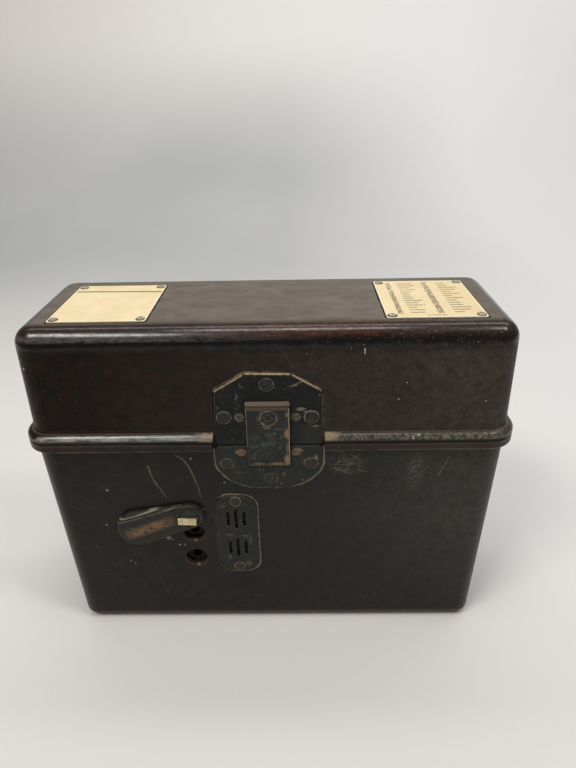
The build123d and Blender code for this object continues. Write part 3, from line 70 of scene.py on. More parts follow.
# ------------------------------------------------------------ node helper
class Mat:
    """A node material written as expressions. Lengths in it are millimetres in the row frame."""

    def __init__(self, name):
        self.mat = bpy.data.materials.new(name)
        self.mat.use_nodes = True
        self.t = self.mat.node_tree
        self.t.nodes.clear()
        self.out = self.new("ShaderNodeOutputMaterial")
        self.b = self.new("ShaderNodeBsdfPrincipled")
        self.t.links.new(self.b.outputs[0], self.out.inputs[0])
        tc = self.new("ShaderNodeTexCoord")
        s = self.new("ShaderNodeVectorMath", operation="SCALE")
        self.put(s.inputs[0], tc.outputs["Object"])
        s.inputs["Scale"].default_value = 1000.0
        self.p = s.outputs[0]
        self.geo = self.new("ShaderNodeNewGeometry")
        self.n = tc.outputs["Normal"]
        self._sep = {}

    def new(self, kind, **props):
        node = self.t.nodes.new(kind)
        for k, v in props.items():
            setattr(node, k, v)
        return node

    def put(self, sock, v):
        if isinstance(v, bpy.types.NodeSocket):
            self.t.links.new(v, sock)
        else:
            if sock.type == "RGBA" and len(v) == 3:
                v = (*v, 1)
            sock.default_value = v

    def set(self, **values):
        names = {
            "color": "Base Color", "rough": "Roughness", "metal": "Metallic", "ior": "IOR",
            "spec": "Specular IOR Level", "coat": "Coat Weight", "coat_rough": "Coat Roughness",
            "sheen": "Sheen Weight", "sheen_rough": "Sheen Roughness", "normal": "Normal", "alpha": "Alpha",
            "aniso": "Anisotropic",
        }
        for k, v in values.items():
            self.put(self.b.inputs[names[k]], v)
        return self

    def math(self, op, a, b=0.0, c=0.0, clamp=False):
        n = self.new("ShaderNodeMath", operation=op, use_clamp=clamp)
        for s, v in zip(n.inputs, (a, b, c)):
            self.put(s, v)
        return n.outputs[0]

    def add(self, a, b): return self.math("ADD", a, b)
    def sub(self, a, b): return self.math("SUBTRACT", a, b)
    def mul(self, a, b, *more):
        v = self.math("MULTIPLY", a, b)
        for m in more:
            v = self.math("MULTIPLY", v, m)
        return v
    def mx(self, a, b): return self.math("MAXIMUM", a, b)
    def mn(self, a, b): return self.math("MINIMUM", a, b)
    def abs(self, a): return self.math("ABSOLUTE", a)
    def inv(self, a): return self.math("SUBTRACT", 1.0, a)

    def sep(self, v):
        key = v.node.name + v.name
        if key not in self._sep:
            n = self.new("ShaderNodeSeparateXYZ")
            self.put(n.inputs[0], v)
            self._sep[key] = tuple(n.outputs)
        return self._sep[key]

    def comb(self, x, y, z):
        n = self.new("ShaderNodeCombineXYZ")
        for s, v in zip(n.inputs, (x, y, z)):
            self.put(s, v)
        return n.outputs[0]

    def map(self, v, a, b, c=0.0, d=1.0, smooth=False):
        n = self.new("ShaderNodeMapRange", clamp=True)
        if smooth:
            n.interpolation_type = "SMOOTHSTEP"
        for s, x in zip(n.inputs[:5], (v, a, b, c, d)):
            self.put(s, x)
        return n.outputs[0]

    def warp(self, scale=(1, 1, 1), loc=(0, 0, 0), rot=(0, 0, 0), vec=None):
        n = self.new("ShaderNodeMapping")
        self.put(n.inputs["Vector"], vec if vec is not None else self.p)
        n.inputs["Location"].default_value = loc
        n.inputs["Rotation"].default_value = rot
        n.inputs["Scale"].default_value = scale
        return n.outputs[0]

    def noise(self, scale, detail=3.0, rough=0.55, dist=0.0, vec=None):
        n = self.new("ShaderNodeTexNoise")
        self.put(n.inputs["Vector"], vec if vec is not None else self.p)
        n.inputs["Scale"].default_value = scale
        n.inputs["Detail"].default_value = detail
        n.inputs["Roughness"].default_value = rough
        n.inputs["Distortion"].default_value = dist
        return n.outputs["Fac"]

    def voronoi(self, scale, feature="F1", rand=1.0, vec=None):
        n = self.new("ShaderNodeTexVoronoi", feature=feature)
        self.put(n.inputs["Vector"], vec if vec is not None else self.p)
        n.inputs["Scale"].default_value = scale
        n.inputs["Randomness"].default_value = rand
        return n

    def mix(self, f, a, b, blend="MIX"):
        n = self.new("ShaderNodeMix", data_type="RGBA", blend_type=blend)
        self.put(n.inputs["Factor"], f)
        ins = [s for s in n.inputs if s.type == "RGBA"]
        self.put(ins[0], a)
        self.put(ins[1], b)
        return [s for s in n.outputs if s.type == "RGBA"][0]

    def edge(self, radius, samples=6):
        """1 on edges, 0 on flats, from the angle between the rounded and the true normal."""
        bv = self.new("ShaderNodeBevel", samples=samples)
        bv.inputs["Radius"].default_value = radius / 1000
        dot = self.new("ShaderNodeVectorMath", operation="DOT_PRODUCT")
        self.put(dot.inputs[0], bv.outputs[0])
        self.put(dot.inputs[1], self.geo.outputs["Normal"])
        return self.map(dot.outputs["Value"], 0.995, 0.80)

    def bump(self, height, dist, strength=1.0):
        """height 0..1, dist in mm."""
        n = self.new("ShaderNodeBump")
        n.inputs["Strength"].default_value = strength
        n.inputs["Distance"].default_value = dist / 1000
        self.put(n.inputs["Height"], height)
        return n.outputs[0]

    def specks(self, scale, size, keep, seed=0.0, vec=None):
        """Scattered small spots: size is the share of a cell, keep the share of cells that have one."""
        v = self.warp(loc=(seed * 13.1, seed * 7.7, seed * 3.3), vec=vec)
        vo = self.voronoi(scale, vec=v)
        r = self.sep(vo.outputs["Color"])[0]
        r2 = self.sep(vo.outputs["Color"])[1]
        on = self.math("LESS_THAN", r, keep)
        rad = self.map(r2, 0, 1, size * 0.4, size)
        d = self.math("LESS_THAN", vo.outputs["Distance"], rad)
        return self.mul(on, d)

    def scratches(self, scale, stretch, rot, keep=0.5, thr=0.012, seed=0.0):
        v = self.warp(scale=stretch, rot=rot, loc=(seed, seed * 2.1, seed * 0.7))
        n1 = self.noise(scale, 2.0, 0.5, vec=v)
        line = self.map(self.abs(self.sub(n1, 0.5)), thr, 0.0)
        m = self.map(self.noise(scale * 0.35, 2.0, vec=self.warp(loc=(seed * 5, 3, 1))), keep, keep + 0.08)
        return self.mul(line, m)

    def box2(self, x, y, cx, cy, hx, hy):
        """Signed distance to a rectangle in two coordinates."""
        dx = self.sub(self.abs(self.sub(x, cx)), hx)
        dy = self.sub(self.abs(self.sub(y, cy)), hy)
        out = self.math("SQRT", self.add(self.math("POWER", self.mx(dx, 0.0), 2.0), self.math("POWER", self.mx(dy, 0.0), 2.0)))
        return self.add(out, self.mn(self.mx(dx, dy), 0.0))

    def seg(self, x, y, ax, ay, bx, by):
        """Distance to a line segment in two coordinates."""
        dx, dy = bx - ax, by - ay
        l2 = dx * dx + dy * dy
        px, py = self.sub(x, ax), self.sub(y, ay)
        t = self.math("DIVIDE", self.add(self.mul(px, dx), self.mul(py, dy)), l2, clamp=True)
        ex, ey = self.sub(px, self.mul(t, dx)), self.sub(py, self.mul(t, dy))
        return self.math("SQRT", self.add(self.mul(ex, ex), self.mul(ey, ey)))


# ------------------------------------------------------------ moulded case
def moulded(name, lid):
    m = Mat(name)
    x, y, z = m.sep(m.p)
    nx, ny, nz = m.sep(m.n)
    up = m.map(nz, 0.955, 0.995)
    big = m.noise(0.022, 3.0, 0.6)
    mid = m.noise(0.11, 4.0, 0.65, vec=m.warp(loc=(40, 5, 9)))
    fine = m.noise(0.75, 3.0, 0.6)
    grain = m.noise(3.2, 2.0, 0.6)
    red = m.noise(0.16, 5.0, 0.72, vec=m.warp(loc=(7, 61, 23)))
    # body colour: near black with brown and reddish clouds
    c = m.mix(m.map(big, 0.35, 0.68), (0.0045, 0.0030, 0.0025), (0.0095, 0.0058, 0.0044))
    c = m.mix(m.mul(m.map(mid, 0.44, 0.66), 0.7 if lid else 0.4), c, (0.0160, 0.0075, 0.0052))
    if not lid:
        c = m.mix(0.3, c, (0.0012, 0.0011, 0.0010))
    c = m.mix(m.mul(m.map(red, 0.50, 0.66), 0.42 if lid else 0.30), c, (0.040, 0.0105, 0.0060))
    thread = m.noise(0.55, 5.0, 0.78, vec=m.warp(scale=(0.55, 1, 1), rot=(0, 0.5, 0), loc=(4, 4, 90)))
    c = m.mix(m.mul(m.map(thread, 0.54, 0.68), 0.40), c, (0.034, 0.0150, 0.0100))
    c = m.mix(m.mul(m.map(fine, 0.54, 0.74), 0.45), c, (0.0240, 0.0180, 0.0140))
    pits = m.map(m.noise(0.34, 4.0, 0.75, vec=m.warp(loc=(2, 33, 70))), 0.60, 0.68)
    c = m.mix(m.mul(pits, 0.7), c, (0.0016, 0.0012, 0.0010))
    edge = m.edge(2.0)
    c = m.mix(m.mul(edge, m.map(red, 0.36, 0.60), 0.8), c, (0.055, 0.017, 0.009))
    dust_and_side_light_col = m.mix(m.map(big, 0.3, 0.7), (0.098, 0.082, 0.067), (0.122, 0.100, 0.080))
    smear = m.noise(0.20, 6.0, 0.76, vec=m.warp(rot=(0, 0.4, 0.06)))
    cloudy = m.map(smear, 0.34, 0.68, 0.55, 1.45)
    if lid:
        # the film is dust and painted light: on the front it grows towards the right, a painted brightening standing
        # for the stronger light from that side
        dust_and_side_light = m.mul(cloudy, m.add(m.map(x, -110.0, 0.0, 0.0, 0.17), m.map(x, 0.0, 130.0, 0.0, 0.26)))
    else:
        # painted light as on the lid: the film grows towards the right for the stronger light there, and thins towards
        # the bottom; the rest is dust
        dust_and_side_light_col = m.mix(m.map(x, -90.0, 10.0), dust_and_side_light_col, (0.100, 0.094, 0.080))
        dust_and_side_light = m.mul(cloudy, m.add(m.map(x, -140.0, -20.0, 0.035, 0.065), m.map(x, -20.0, 135.0, 0.0, 0.33)), m.map(z, 15.0, 95.0, 0.15, 1.0))
        dust_and_side_light = m.mx(dust_and_side_light, m.mul(m.map(m.noise(0.10, 5.0, 0.78, vec=m.warp(loc=(5, 77, 31), scale=(1, 1, 1.2))), 0.54, 0.66), m.map(fine, 0.38, 0.62), 0.34))
    if lid:
        # the top front edge: deep red brown where it is rubbed bare, most near the middle
        curve = m.mul(m.map(z, 205.0, 208.5), m.inv(up))
        dust_and_side_light = m.mul(dust_and_side_light, m.inv(m.mul(curve, 0.9)))
        # painted reflection: a near-black band on the lower fillet, standing for the dark surroundings mirrored there
        painted_dark_band = m.mul(m.map(z, 206.0, 208.0), m.map(z, 215.0, 213.0), m.map(y, -40.0, -43.0))
        c = m.mix(m.mul(painted_dark_band, 0.75), c, (0.0022, 0.0012, 0.0010))
        band = m.mul(m.map(z, 213.0, 215.5), m.map(y, -36.0, -38.5))
        mid_x = m.mx(m.map(m.abs(m.sub(x, 25.0)), 95.0, 20.0), 0.22)
        c = m.mix(m.mul(band, mid_x, m.map(thread, 0.42, 0.58), 0.80), c, (0.095, 0.024, 0.0090))
        # painted highlight: the bright band along the edge, mottled, at the left
        painted_edge_highlight = m.mul(m.map(m.abs(m.sub(z, 213.6)), 1.9, 0.8), m.map(y, -38.0, -40.0), m.map(x, 30.0, -70.0), m.map(m.noise(0.55, 5.0, 0.76, vec=m.warp(scale=(0.35, 1, 1), loc=(3, 3, 2))), 0.36, 0.62))
        c = m.mix(m.mul(painted_edge_highlight, 0.42), c, (0.21, 0.195, 0.175))
        cloud = m.map(m.noise(0.085, 5.0, 0.70, vec=m.warp(scale=(0.7, 1.3, 1))), 0.32, 0.66, 0.66, 1.12)
        topf = m.mul(up, cloud, m.map(y, -38.0, -33.0, 0.35, 1.0))
        dust_and_side_light = m.mx(dust_and_side_light, m.mul(topf, 0.86))
        dust_and_side_light_col = m.mix(up, dust_and_side_light_col, (0.178, 0.150, 0.124))
    else:
        foot = m.mul(m.map(z, 9.0, 2.0), m.map(red, 0.36, 0.58))
        c = m.mix(m.mul(foot, 0.8), c, (0.085, 0.020, 0.010))
    c = m.mix(dust_and_side_light, c, dust_and_side_light_col)
    # specks: few on the left, many towards the upper right
    right = m.map(x, -70.0, 100.0, 0.12, 1.0)
    high_z = m.map(z, 60.0, 215.0, 0.30, 1.0)
    amount = m.mul(right, high_z)
    level = m.map(m.noise(0.9, 1.0, vec=m.warp(loc=(3, 9, 12))), 0.35, 0.62, 0.15, 1.0)
    sp = m.mul(m.specks(0.26, 0.080, 0.26, 1.0), m.math("GREATER_THAN", m.mul(amount, m.noise(0.045, 2.0, 0.6)), 0.26), level)
    sp = m.mx(sp, m.mul(m.specks(0.60, 0.13, 0.30, 2.0), m.math("GREATER_THAN", m.mul(amount, m.noise(0.060, 3.0, 0.6, vec=m.warp(loc=(91, 3, 8)))), 0.31), level, 0.8))
    sp = m.mx(sp, m.mul(m.specks(0.32, 0.06, 0.07, 3.0), 0.45))
    sp = m.mx(sp, m.mul(m.specks(0.9, 0.11, 0.16, 5.0), m.map(m.noise(0.05, 3.0, 0.6, vec=m.warp(loc=(31, 3, 60))), 0.48, 0.60), 0.45))
    if lid:
        edge_sp = m.mul(m.mx(m.specks(0.42, 0.16, 0.40, 11.0), m.specks(0.85, 0.20, 0.40, 12.0)), level, m.map(z, 206.0, 210.0), m.map(y, -34.0, -39.0), m.math("GREATER_THAN", m.mul(m.map(x, -20.0, 60.0), m.noise(0.05, 2.0)), 0.36))
        sp = m.mx(sp, edge_sp)
    c = m.mix(m.mul(sp, 0.72), c, (0.44, 0.39, 0.32))
    # worn haze: greyish patches of fine rubbing
    haze = m.mul(m.map(m.noise(0.07, 5.0, 0.75, vec=m.warp(loc=(17, 3, 44))), 0.54, 0.70), m.map(fine, 0.40, 0.66), m.map(x, -130.0, 60.0, 0.35, 1.0))
    c = m.mix(m.mul(haze, 0.34), c, (0.075, 0.062, 0.046))
    sc = m.mx(
        m.scratches(0.075, (1, 1, 0.16), (0.0, 0.42, 0.2), 0.58, 0.0026, 3.0),
        m.scratches(0.09, (0.14, 1, 1), (0.3, 0.20, 0.5), 0.60, 0.0026, 8.0),
    )
    c = m.mix(m.mul(sc, 0.32), c, (0.20, 0.165, 0.125))
    dusty = 0.0
    if lid:
        # brown rubbing close round the label plates
        for cx, cy, w, d in LABELS:
            sd = m.box2(x, y, cx, cy, w / 2, d / 2)
            worn = m.mul(m.map(m.abs(m.sub(sd, 2.2)), 1.4, 0.2), m.map(fine, 0.46, 0.62), m.math("GREATER_THAN", z, 217.0))
            c = m.mix(m.mul(worn, 0.35), c, (0.20, 0.13, 0.075))
        # the bead: a painted highlight on its crown at the left, under greenish dust at the right
        bead = m.mul(m.map(m.abs(m.sub(z, 155.0)), 2.6, 1.4), m.map(y, -50.2, -51.0))
        left = m.map(x, 20.0, -40.0)
        crown = m.mul(m.map(m.abs(m.sub(z, 155.4)), 1.9, 1.1), m.map(y, -50.0, -51.0))
        painted_crown_highlight = m.mul(crown, left, m.map(m.noise(0.6, 4.0, 0.7, vec=m.warp(scale=(0.2, 1, 1))), 0.30, 0.58))
        c = m.mix(m.mul(painted_crown_highlight, 0.62), c, (0.47, 0.455, 0.41))
        # painted shade: a near-black line under the bead's crown
        painted_under_shade = m.mul(m.map(z, 154.2, 153.2), m.map(y, -49.8, -50.6))
        c = m.mix(m.mul(painted_under_shade, 0.85), c, (0.0012, 0.0010, 0.0009))
        dusty = m.mul(bead, m.inv(left), m.map(m.noise(0.48, 5.0, 0.76), 0.43, 0.58), m.inv(m.mul(painted_under_shade, 0.8)))
        c = m.mix(m.mul(dusty, 0.80), c, (0.200, 0.180, 0.128))
        cracks = m.mul(bead, m.inv(left), m.map(m.abs(m.sub(m.noise(0.16, 3.0, 0.6, 0.6, vec=m.warp(scale=(1, 1, 1.6))), 0.5)), 0.016, 0.006))
        c = m.mix(m.mul(cracks, 0.9), c, (0.006, 0.005, 0.004))
        near = m.mul(m.map(m.abs(m.sub(m.abs(x), 34.0)), 8.0, 1.5), m.map(y, -48.7, -49.4), m.map(z, 161.0, 157.5), m.map(z, 152.6, 154.0))
        near = m.mul(near, m.map(m.noise(0.5, 5.0, 0.75, vec=m.warp(loc=(8, 1, 1))), 0.34, 0.54))
        c = m.mix(m.mul(near, 0.95), c, (0.30, 0.225, 0.140))
        dusty = m.mx(dusty, near)
        white = m.mul(m.sub(m.noise(1.1, 3.0, 0.7, vec=m.warp(loc=(6, 2, 6))), 0.5), 1.6)
        for cx_, cz_, rx_, rz_ in ((52.5, 206.8, 0.34, 0.8), (52.6, 205.0, 0.22, 0.9), (76.0, 187.1, 0.30, 0.34), (72.2, 176.9, 0.5, 0.28), (120.0, 175.3, 0.28, 0.36), (-131.0, 197.0, 0.3, 0.8), (81.2, 154.6, 0.4, 0.6), (84.5, 156.0, 0.5, 0.3)):
            dd = m.math("SQRT", m.add(m.math("POWER", m.math("DIVIDE", m.sub(x, cx_), rx_), 2.0), m.math("POWER", m.math("DIVIDE", m.sub(z, cz_), rz_), 2.0)))
            c = m.mix(m.mul(m.map(m.add(dd, white), 1.3, 0.7), m.math("LESS_THAN", y, -35.0), 0.8), c, (0.62, 0.60, 0.55))
    else:
        band = m.mul(m.map(z, 144.5, 146.5), m.map(y, -49.2, -50.4))
        c = m.mix(m.mul(band, m.map(red, 0.36, 0.62), 0.8), c, (0.036, 0.014, 0.008))
        lip = m.mul(m.map(m.abs(m.sub(z, 146.4)), 0.9, 0.3), m.map(y, -49.4, -50.4), m.map(m.noise(0.3, 3.0, vec=m.warp(scale=(0.3, 1, 1))), 0.35, 0.6))
        c = m.mix(m.mul(lip, 0.55), c, (0.24, 0.20, 0.15))
        onface = m.math("LESS_THAN", y, -43.0)
        # a greenish cast below the latch and round the fittings
        cast = m.mul(onface, m.map(m.math("SQRT", m.add(m.math("POWER", m.add(x, 15.0), 2.0), m.math("POWER", m.sub(z, 100.0), 2.0))), 115.0, 40.0))
        c = m.mix(m.mul(cast, 0.5), c, (0.0125, 0.0132, 0.0108))
        # dirt left at the edge of the flap's sweep
        arcs = None
        for pts, w in (
            ([(-71.5, 133.8), (-71.0, 129.5), (-69.9, 124.5), (-68.1, 119.5)], 0.46),
            ([(-68.1, 119.5), (-65.6, 114.2), (-63.6, 109.6)], 0.26),
            ([(-54.6, 141.2), (-50.6, 138.4), (-48.3, 134.6), (-46.6, 129.8), (-45.7, 126.0), (-44.4, 121.0)], 0.50),
            ([(-44.4, 121.0), (-43.2, 115.6), (-42.6, 109.0)], 0.28),
        ):
            for (ax, ay), (bx, by) in zip(pts, pts[1:]):
                d = m.seg(x, z, ax, ay, bx, by)
                a = m.map(d, w * 1.7, w * 0.4)
                arcs = a if arcs is None else m.mx(arcs, a)
        arcs = m.mul(arcs, m.map(m.noise(0.75, 5.0, 0.76), 0.38, 0.60), onface)
        c = m.mix(m.mul(arcs, 0.70), c, (0.27, 0.205, 0.130))
        # chips beside the flap and round the sockets
        chips = None
        for cx, cz, r in (
            (-66.2, 76.3, 2.0), (-68.4, 77.5, 1.2), (-59.9, 70.5, 0.75), (-56.7, 70.5, 0.8), (-31.5, 89.7, 0.9),
            (-27.2, 120.9, 0.7), (-98.8, 115.8, 1.1), (-93.6, 56.2, 0.7), (-91.1, 54.2, 0.7), (-45.8, 138.8, 0.8),
            (-42.0, 99.5, 0.6), (-104.0, 88.0, 0.8), (-63.5, 74.8, 0.5),
        ):
            dd = m.math("SQRT", m.add(m.math("POWER", m.sub(x, cx), 2.0), m.math("POWER", m.sub(z, cz), 2.0)))
            dd = m.add(dd, m.mul(m.sub(fine, 0.5), 2.4))
            a = m.map(dd, r, r * 0.5)
            chips = a if chips is None else m.mx(chips, a)
        c = m.mix(m.mul(chips, onface, 0.62), c, (0.36, 0.37, 0.30))
        # pale rubbing below the latch on the right
        for cx, cz, rx, rz in ((45.0, 134.0, 13.0, 11.0), (86.0, 128.0, 7.0, 16.0)):
            dd = m.math("SQRT", m.add(m.math("POWER", m.math("DIVIDE", m.sub(x, cx), rx), 2.0), m.math("POWER", m.math("DIVIDE", m.sub(z, cz), rz), 2.0)))
            patch = m.mul(m.map(dd, 1.0, 0.3), onface, m.map(m.noise(0.55, 4.0, 0.75, vec=m.warp(scale=(0.6, 1, 1.4))), 0.47, 0.57))
            c = m.mix(m.mul(patch, 0.42), c, (0.19, 0.165, 0.120))
        scr = None
        for ax_, az_, bx_, bz_, w_ in ((104.4, 139.0, 99.4, 124.0, 0.24), (47.0, 141.0, 52.0, 137.0, 0.30), (40.0, 136.0, 50.0, 133.5, 0.26), (38.0, 131.0, 46.0, 127.5, 0.26), (52.0, 129.5, 57.0, 128.0, 0.3), (36.0, 143.5, 43.0, 143.0, 0.3), (84.0, 131.0, 88.0, 133.0, 0.3)):
            a = m.map(m.seg(x, z, ax_, az_, bx_, bz_), w_ * 1.8, w_ * 0.4)
            scr = a if scr is None else m.mx(scr, a)
        c = m.mix(m.mul(scr, onface, m.map(m.noise(0.8, 4.0, 0.75), 0.38, 0.56), 0.50), c, (0.25, 0.225, 0.165))
        for cz in (80.7, 59.1):
            dd = m.math("SQRT", m.add(m.math("POWER", m.sub(x, -49.9), 2.0), m.math("POWER", m.sub(z, cz), 2.0)))
            rim = m.mul(m.map(m.abs(m.sub(dd, 7.2)), 1.3, 0.2), m.map(z, cz + 2, cz - 5), onface)
            c = m.mix(m.mul(rim, m.map(fine, 0.30, 0.52), 0.8), c, (0.085, 0.042, 0.021))
    rough = m.add(m.map(mid, 0.3, 0.7, 0.17, 0.27), m.mul(m.sub(fine, 0.5), 0.10))
    flat = m.mul(m.inv(edge), 0.10)
    rough = m.add(rough, flat)
    rough = m.add(rough, m.mul(dust_and_side_light, 0.30))
    rough = m.add(rough, m.mul(m.mx(sc, sp), 0.25))
    if lid:
        rough = m.add(rough, m.mul(dusty, 0.35))
    h = m.add(m.mul(fine, 0.55), m.mul(grain, 0.22))
    h = m.sub(h, m.mul(sc, 0.5))
    # polish: handled edges keep a hard gloss
    if lid:
        gloss = m.mx(m.mul(m.map(z, 206.0, 209.5), m.inv(up)), m.mul(m.map(z, 159.0, 157.5), m.map(z, 152.0, 153.5), m.inv(m.mul(dusty, 0.8))))
    else:
        gloss = m.mul(m.map(m.abs(m.sub(z, 150.6)), 0.8, 0.3), 0.4)
    m.set(color=c, rough=rough, normal=m.bump(h, 0.045, 0.55), coat=m.mul(gloss, m.map(m.noise(0.5, 5.0, 0.78, vec=m.warp(scale=(0.4, 1, 1))), 0.36, 0.62, 1.0, 0.35)))
    m.b.inputs["Coat Roughness"].default_value = 0.20
    m.b.inputs["Specular IOR Level"].default_value = 0.11 if lid else 0.19
    return m.mat


def inner_moulding(name, tone=1.0):
    m = Mat(name)
    x, y, z = m.sep(m.p)
    nx, ny, nz = m.sep(m.n)
    mid = m.noise(0.10, 4.0, 0.6)
    fine = m.noise(0.9, 3.0, 0.6)
    c = m.mix(m.map(mid, 0.35, 0.68), tuple(v * tone for v in (0.0085, 0.0078, 0.0072)), tuple(v * tone for v in (0.018, 0.0145, 0.012)))
    e = m.edge(0.9)
    c = m.mix(m.mul(e, m.map(fine, 0.35, 0.6), 0.7), c, (0.075, 0.050, 0.034))
    dust = m.mul(m.map(nz, 0.5, 0.95), m.map(m.noise(0.16, 4.0, 0.65), 0.36, 0.74), 0.22)
    c = m.mix(dust, c, (0.14, 0.122, 0.10))
    sp = m.specks(0.3, 0.10, 0.16, 4.0)
    c = m.mix(m.mul(sp, 0.5), c, (0.34, 0.31, 0.27))
    sc = m.scratches(0.12, (1, 0.2, 1), (0.3, 0.5, 0.2), 0.56, 0.004, 2.0)
    c = m.mix(m.mul(sc, 0.3), c, (0.2, 0.17, 0.14))
    rough = m.add(m.map(mid, 0.3, 0.7, 0.24, 0.38), m.mul(dust, 0.5))
    m.set(color=c, rough=m.add(rough, m.mul(sc, 0.2)), normal=m.bump(m.add(fine, m.mul(sc, -0.6)), 0.05, 0.5))
    return m.mat


# ------------------------------------------------------------ metals
def enamel(name, wear=None, tone=(0.0165, 0.0185, 0.0155), edge_r=0.55, edge_gain=0.6, edge_col=(0.26, 0.19, 0.12), extra=None):
    """Dark green-black enamel on sheet: rubbed edges, small chips, dust in patches."""
    m = Mat(name)
    x, y, z = m.sep(m.p)
    mid = m.noise(0.16, 4.0, 0.62)
    fine = m.noise(1.1, 4.0, 0.65)
    grain = m.noise(4.5, 2.0, 0.5)
    c = m.mix(m.map(mid, 0.34, 0.68), tone, tuple(v * 1.7 for v in tone))
    c = m.mix(m.mul(m.map(fine, 0.52, 0.75), 0.4), c, tuple(v * k for v, k in zip(tone, (2.9, 2.5, 2.2))))
    brown = m.mul(m.map(m.noise(0.30, 5.0, 0.72, vec=m.warp(loc=(23, 8, 51))), 0.52, 0.66), 0.45)
    c = m.mix(brown, c, (0.045, 0.026, 0.015))
    e = m.edge(edge_r)
    w = m.mul(e, m.map(m.noise(0.45, 4.0, 0.7, vec=m.warp(loc=(9, 3, 7))), 0.40, 0.58), edge_gain)
    if wear is not None:
        w = m.mul(w, wear(m, x, y, z))
    c = m.mix(w, c, edge_col)
    chips = m.map(m.noise(0.6, 5.0, 0.75, vec=m.warp(loc=(3, 71, 7))), 0.665, 0.70)
    c = m.mix(m.mul(chips, 0.7), c, (0.13, 0.105, 0.075))
    sp = m.specks(0.40, 0.16, 0.13, 6.0)
    c = m.mix(m.mul(sp, 0.6), c, (0.42, 0.40, 0.34))
    sc = m.mx(
        m.scratches(0.22, (1, 1, 0.22), (0, 0.9, 0), 0.54, 0.006, 5.0),
        m.scratches(0.25, (0.2, 1, 1), (0, 0.5, 0), 0.56, 0.006, 9.0),
    )
    c = m.mix(m.mul(sc, 0.45), c, (0.20, 0.18, 0.14))
    if extra is not None:
        c = extra(m, x, y, z, c)
    rough = m.add(m.map(mid, 0.3, 0.7, 0.40, 0.56), m.mul(m.sub(fine, 0.5), 0.2))
    metal = m.mul(w, 0.2)
    m.b.inputs["Specular IOR Level"].default_value = 0.22
    h = m.sub(m.add(m.mul(fine, 0.5), m.mul(grain, 0.3)), m.add(m.mul(sc, 0.6), m.mul(chips, 0.6)))
    m.set(color=c, rough=rough, metal=metal, normal=m.bump(h, 0.07, 0.6))
    return m


def metal(name, tone_a, tone_b, rough_a, rough_b, dirt=(0.03, 0.025, 0.02), dirt_amt=0.5, brush=None, metallic=0.9, edge_col=None):
    m = Mat(name)
    mid = m.noise(0.35, 4.0, 0.62)
    fine = m.noise(1.6, 4.0, 0.65)
    c = m.mix(m.map(mid, 0.35, 0.66), tone_a, tone_b)
    d = m.mul(m.map(m.noise(0.22, 5.0, 0.7, vec=m.warp(loc=(11, 4, 2))), 0.46, 0.66), dirt_amt)
    c = m.mix(d, c, dirt)
    if edge_col:
        c = m.mix(m.mul(m.edge(0.4), 0.7), c, edge_col)
    h = m.mul(fine, 0.5)
    if brush:
        b = m.noise(2.2, 3.0, 0.6, vec=m.warp(scale=brush))
        c = m.mix(m.mul(m.map(b, 0.45, 0.6), 0.25), c, tuple(v * 0.6 for v in tone_a))
        h = m.add(h, m.mul(b, 0.5))
    rough = m.add(m.map(fine, 0.3, 0.7, rough_a, rough_b), m.mul(d, 0.3))
    m.set(color=c, rough=rough, metal=m.mul(m.inv(d), metallic), normal=m.bump(h, 0.05, 0.5))
    return m.mat


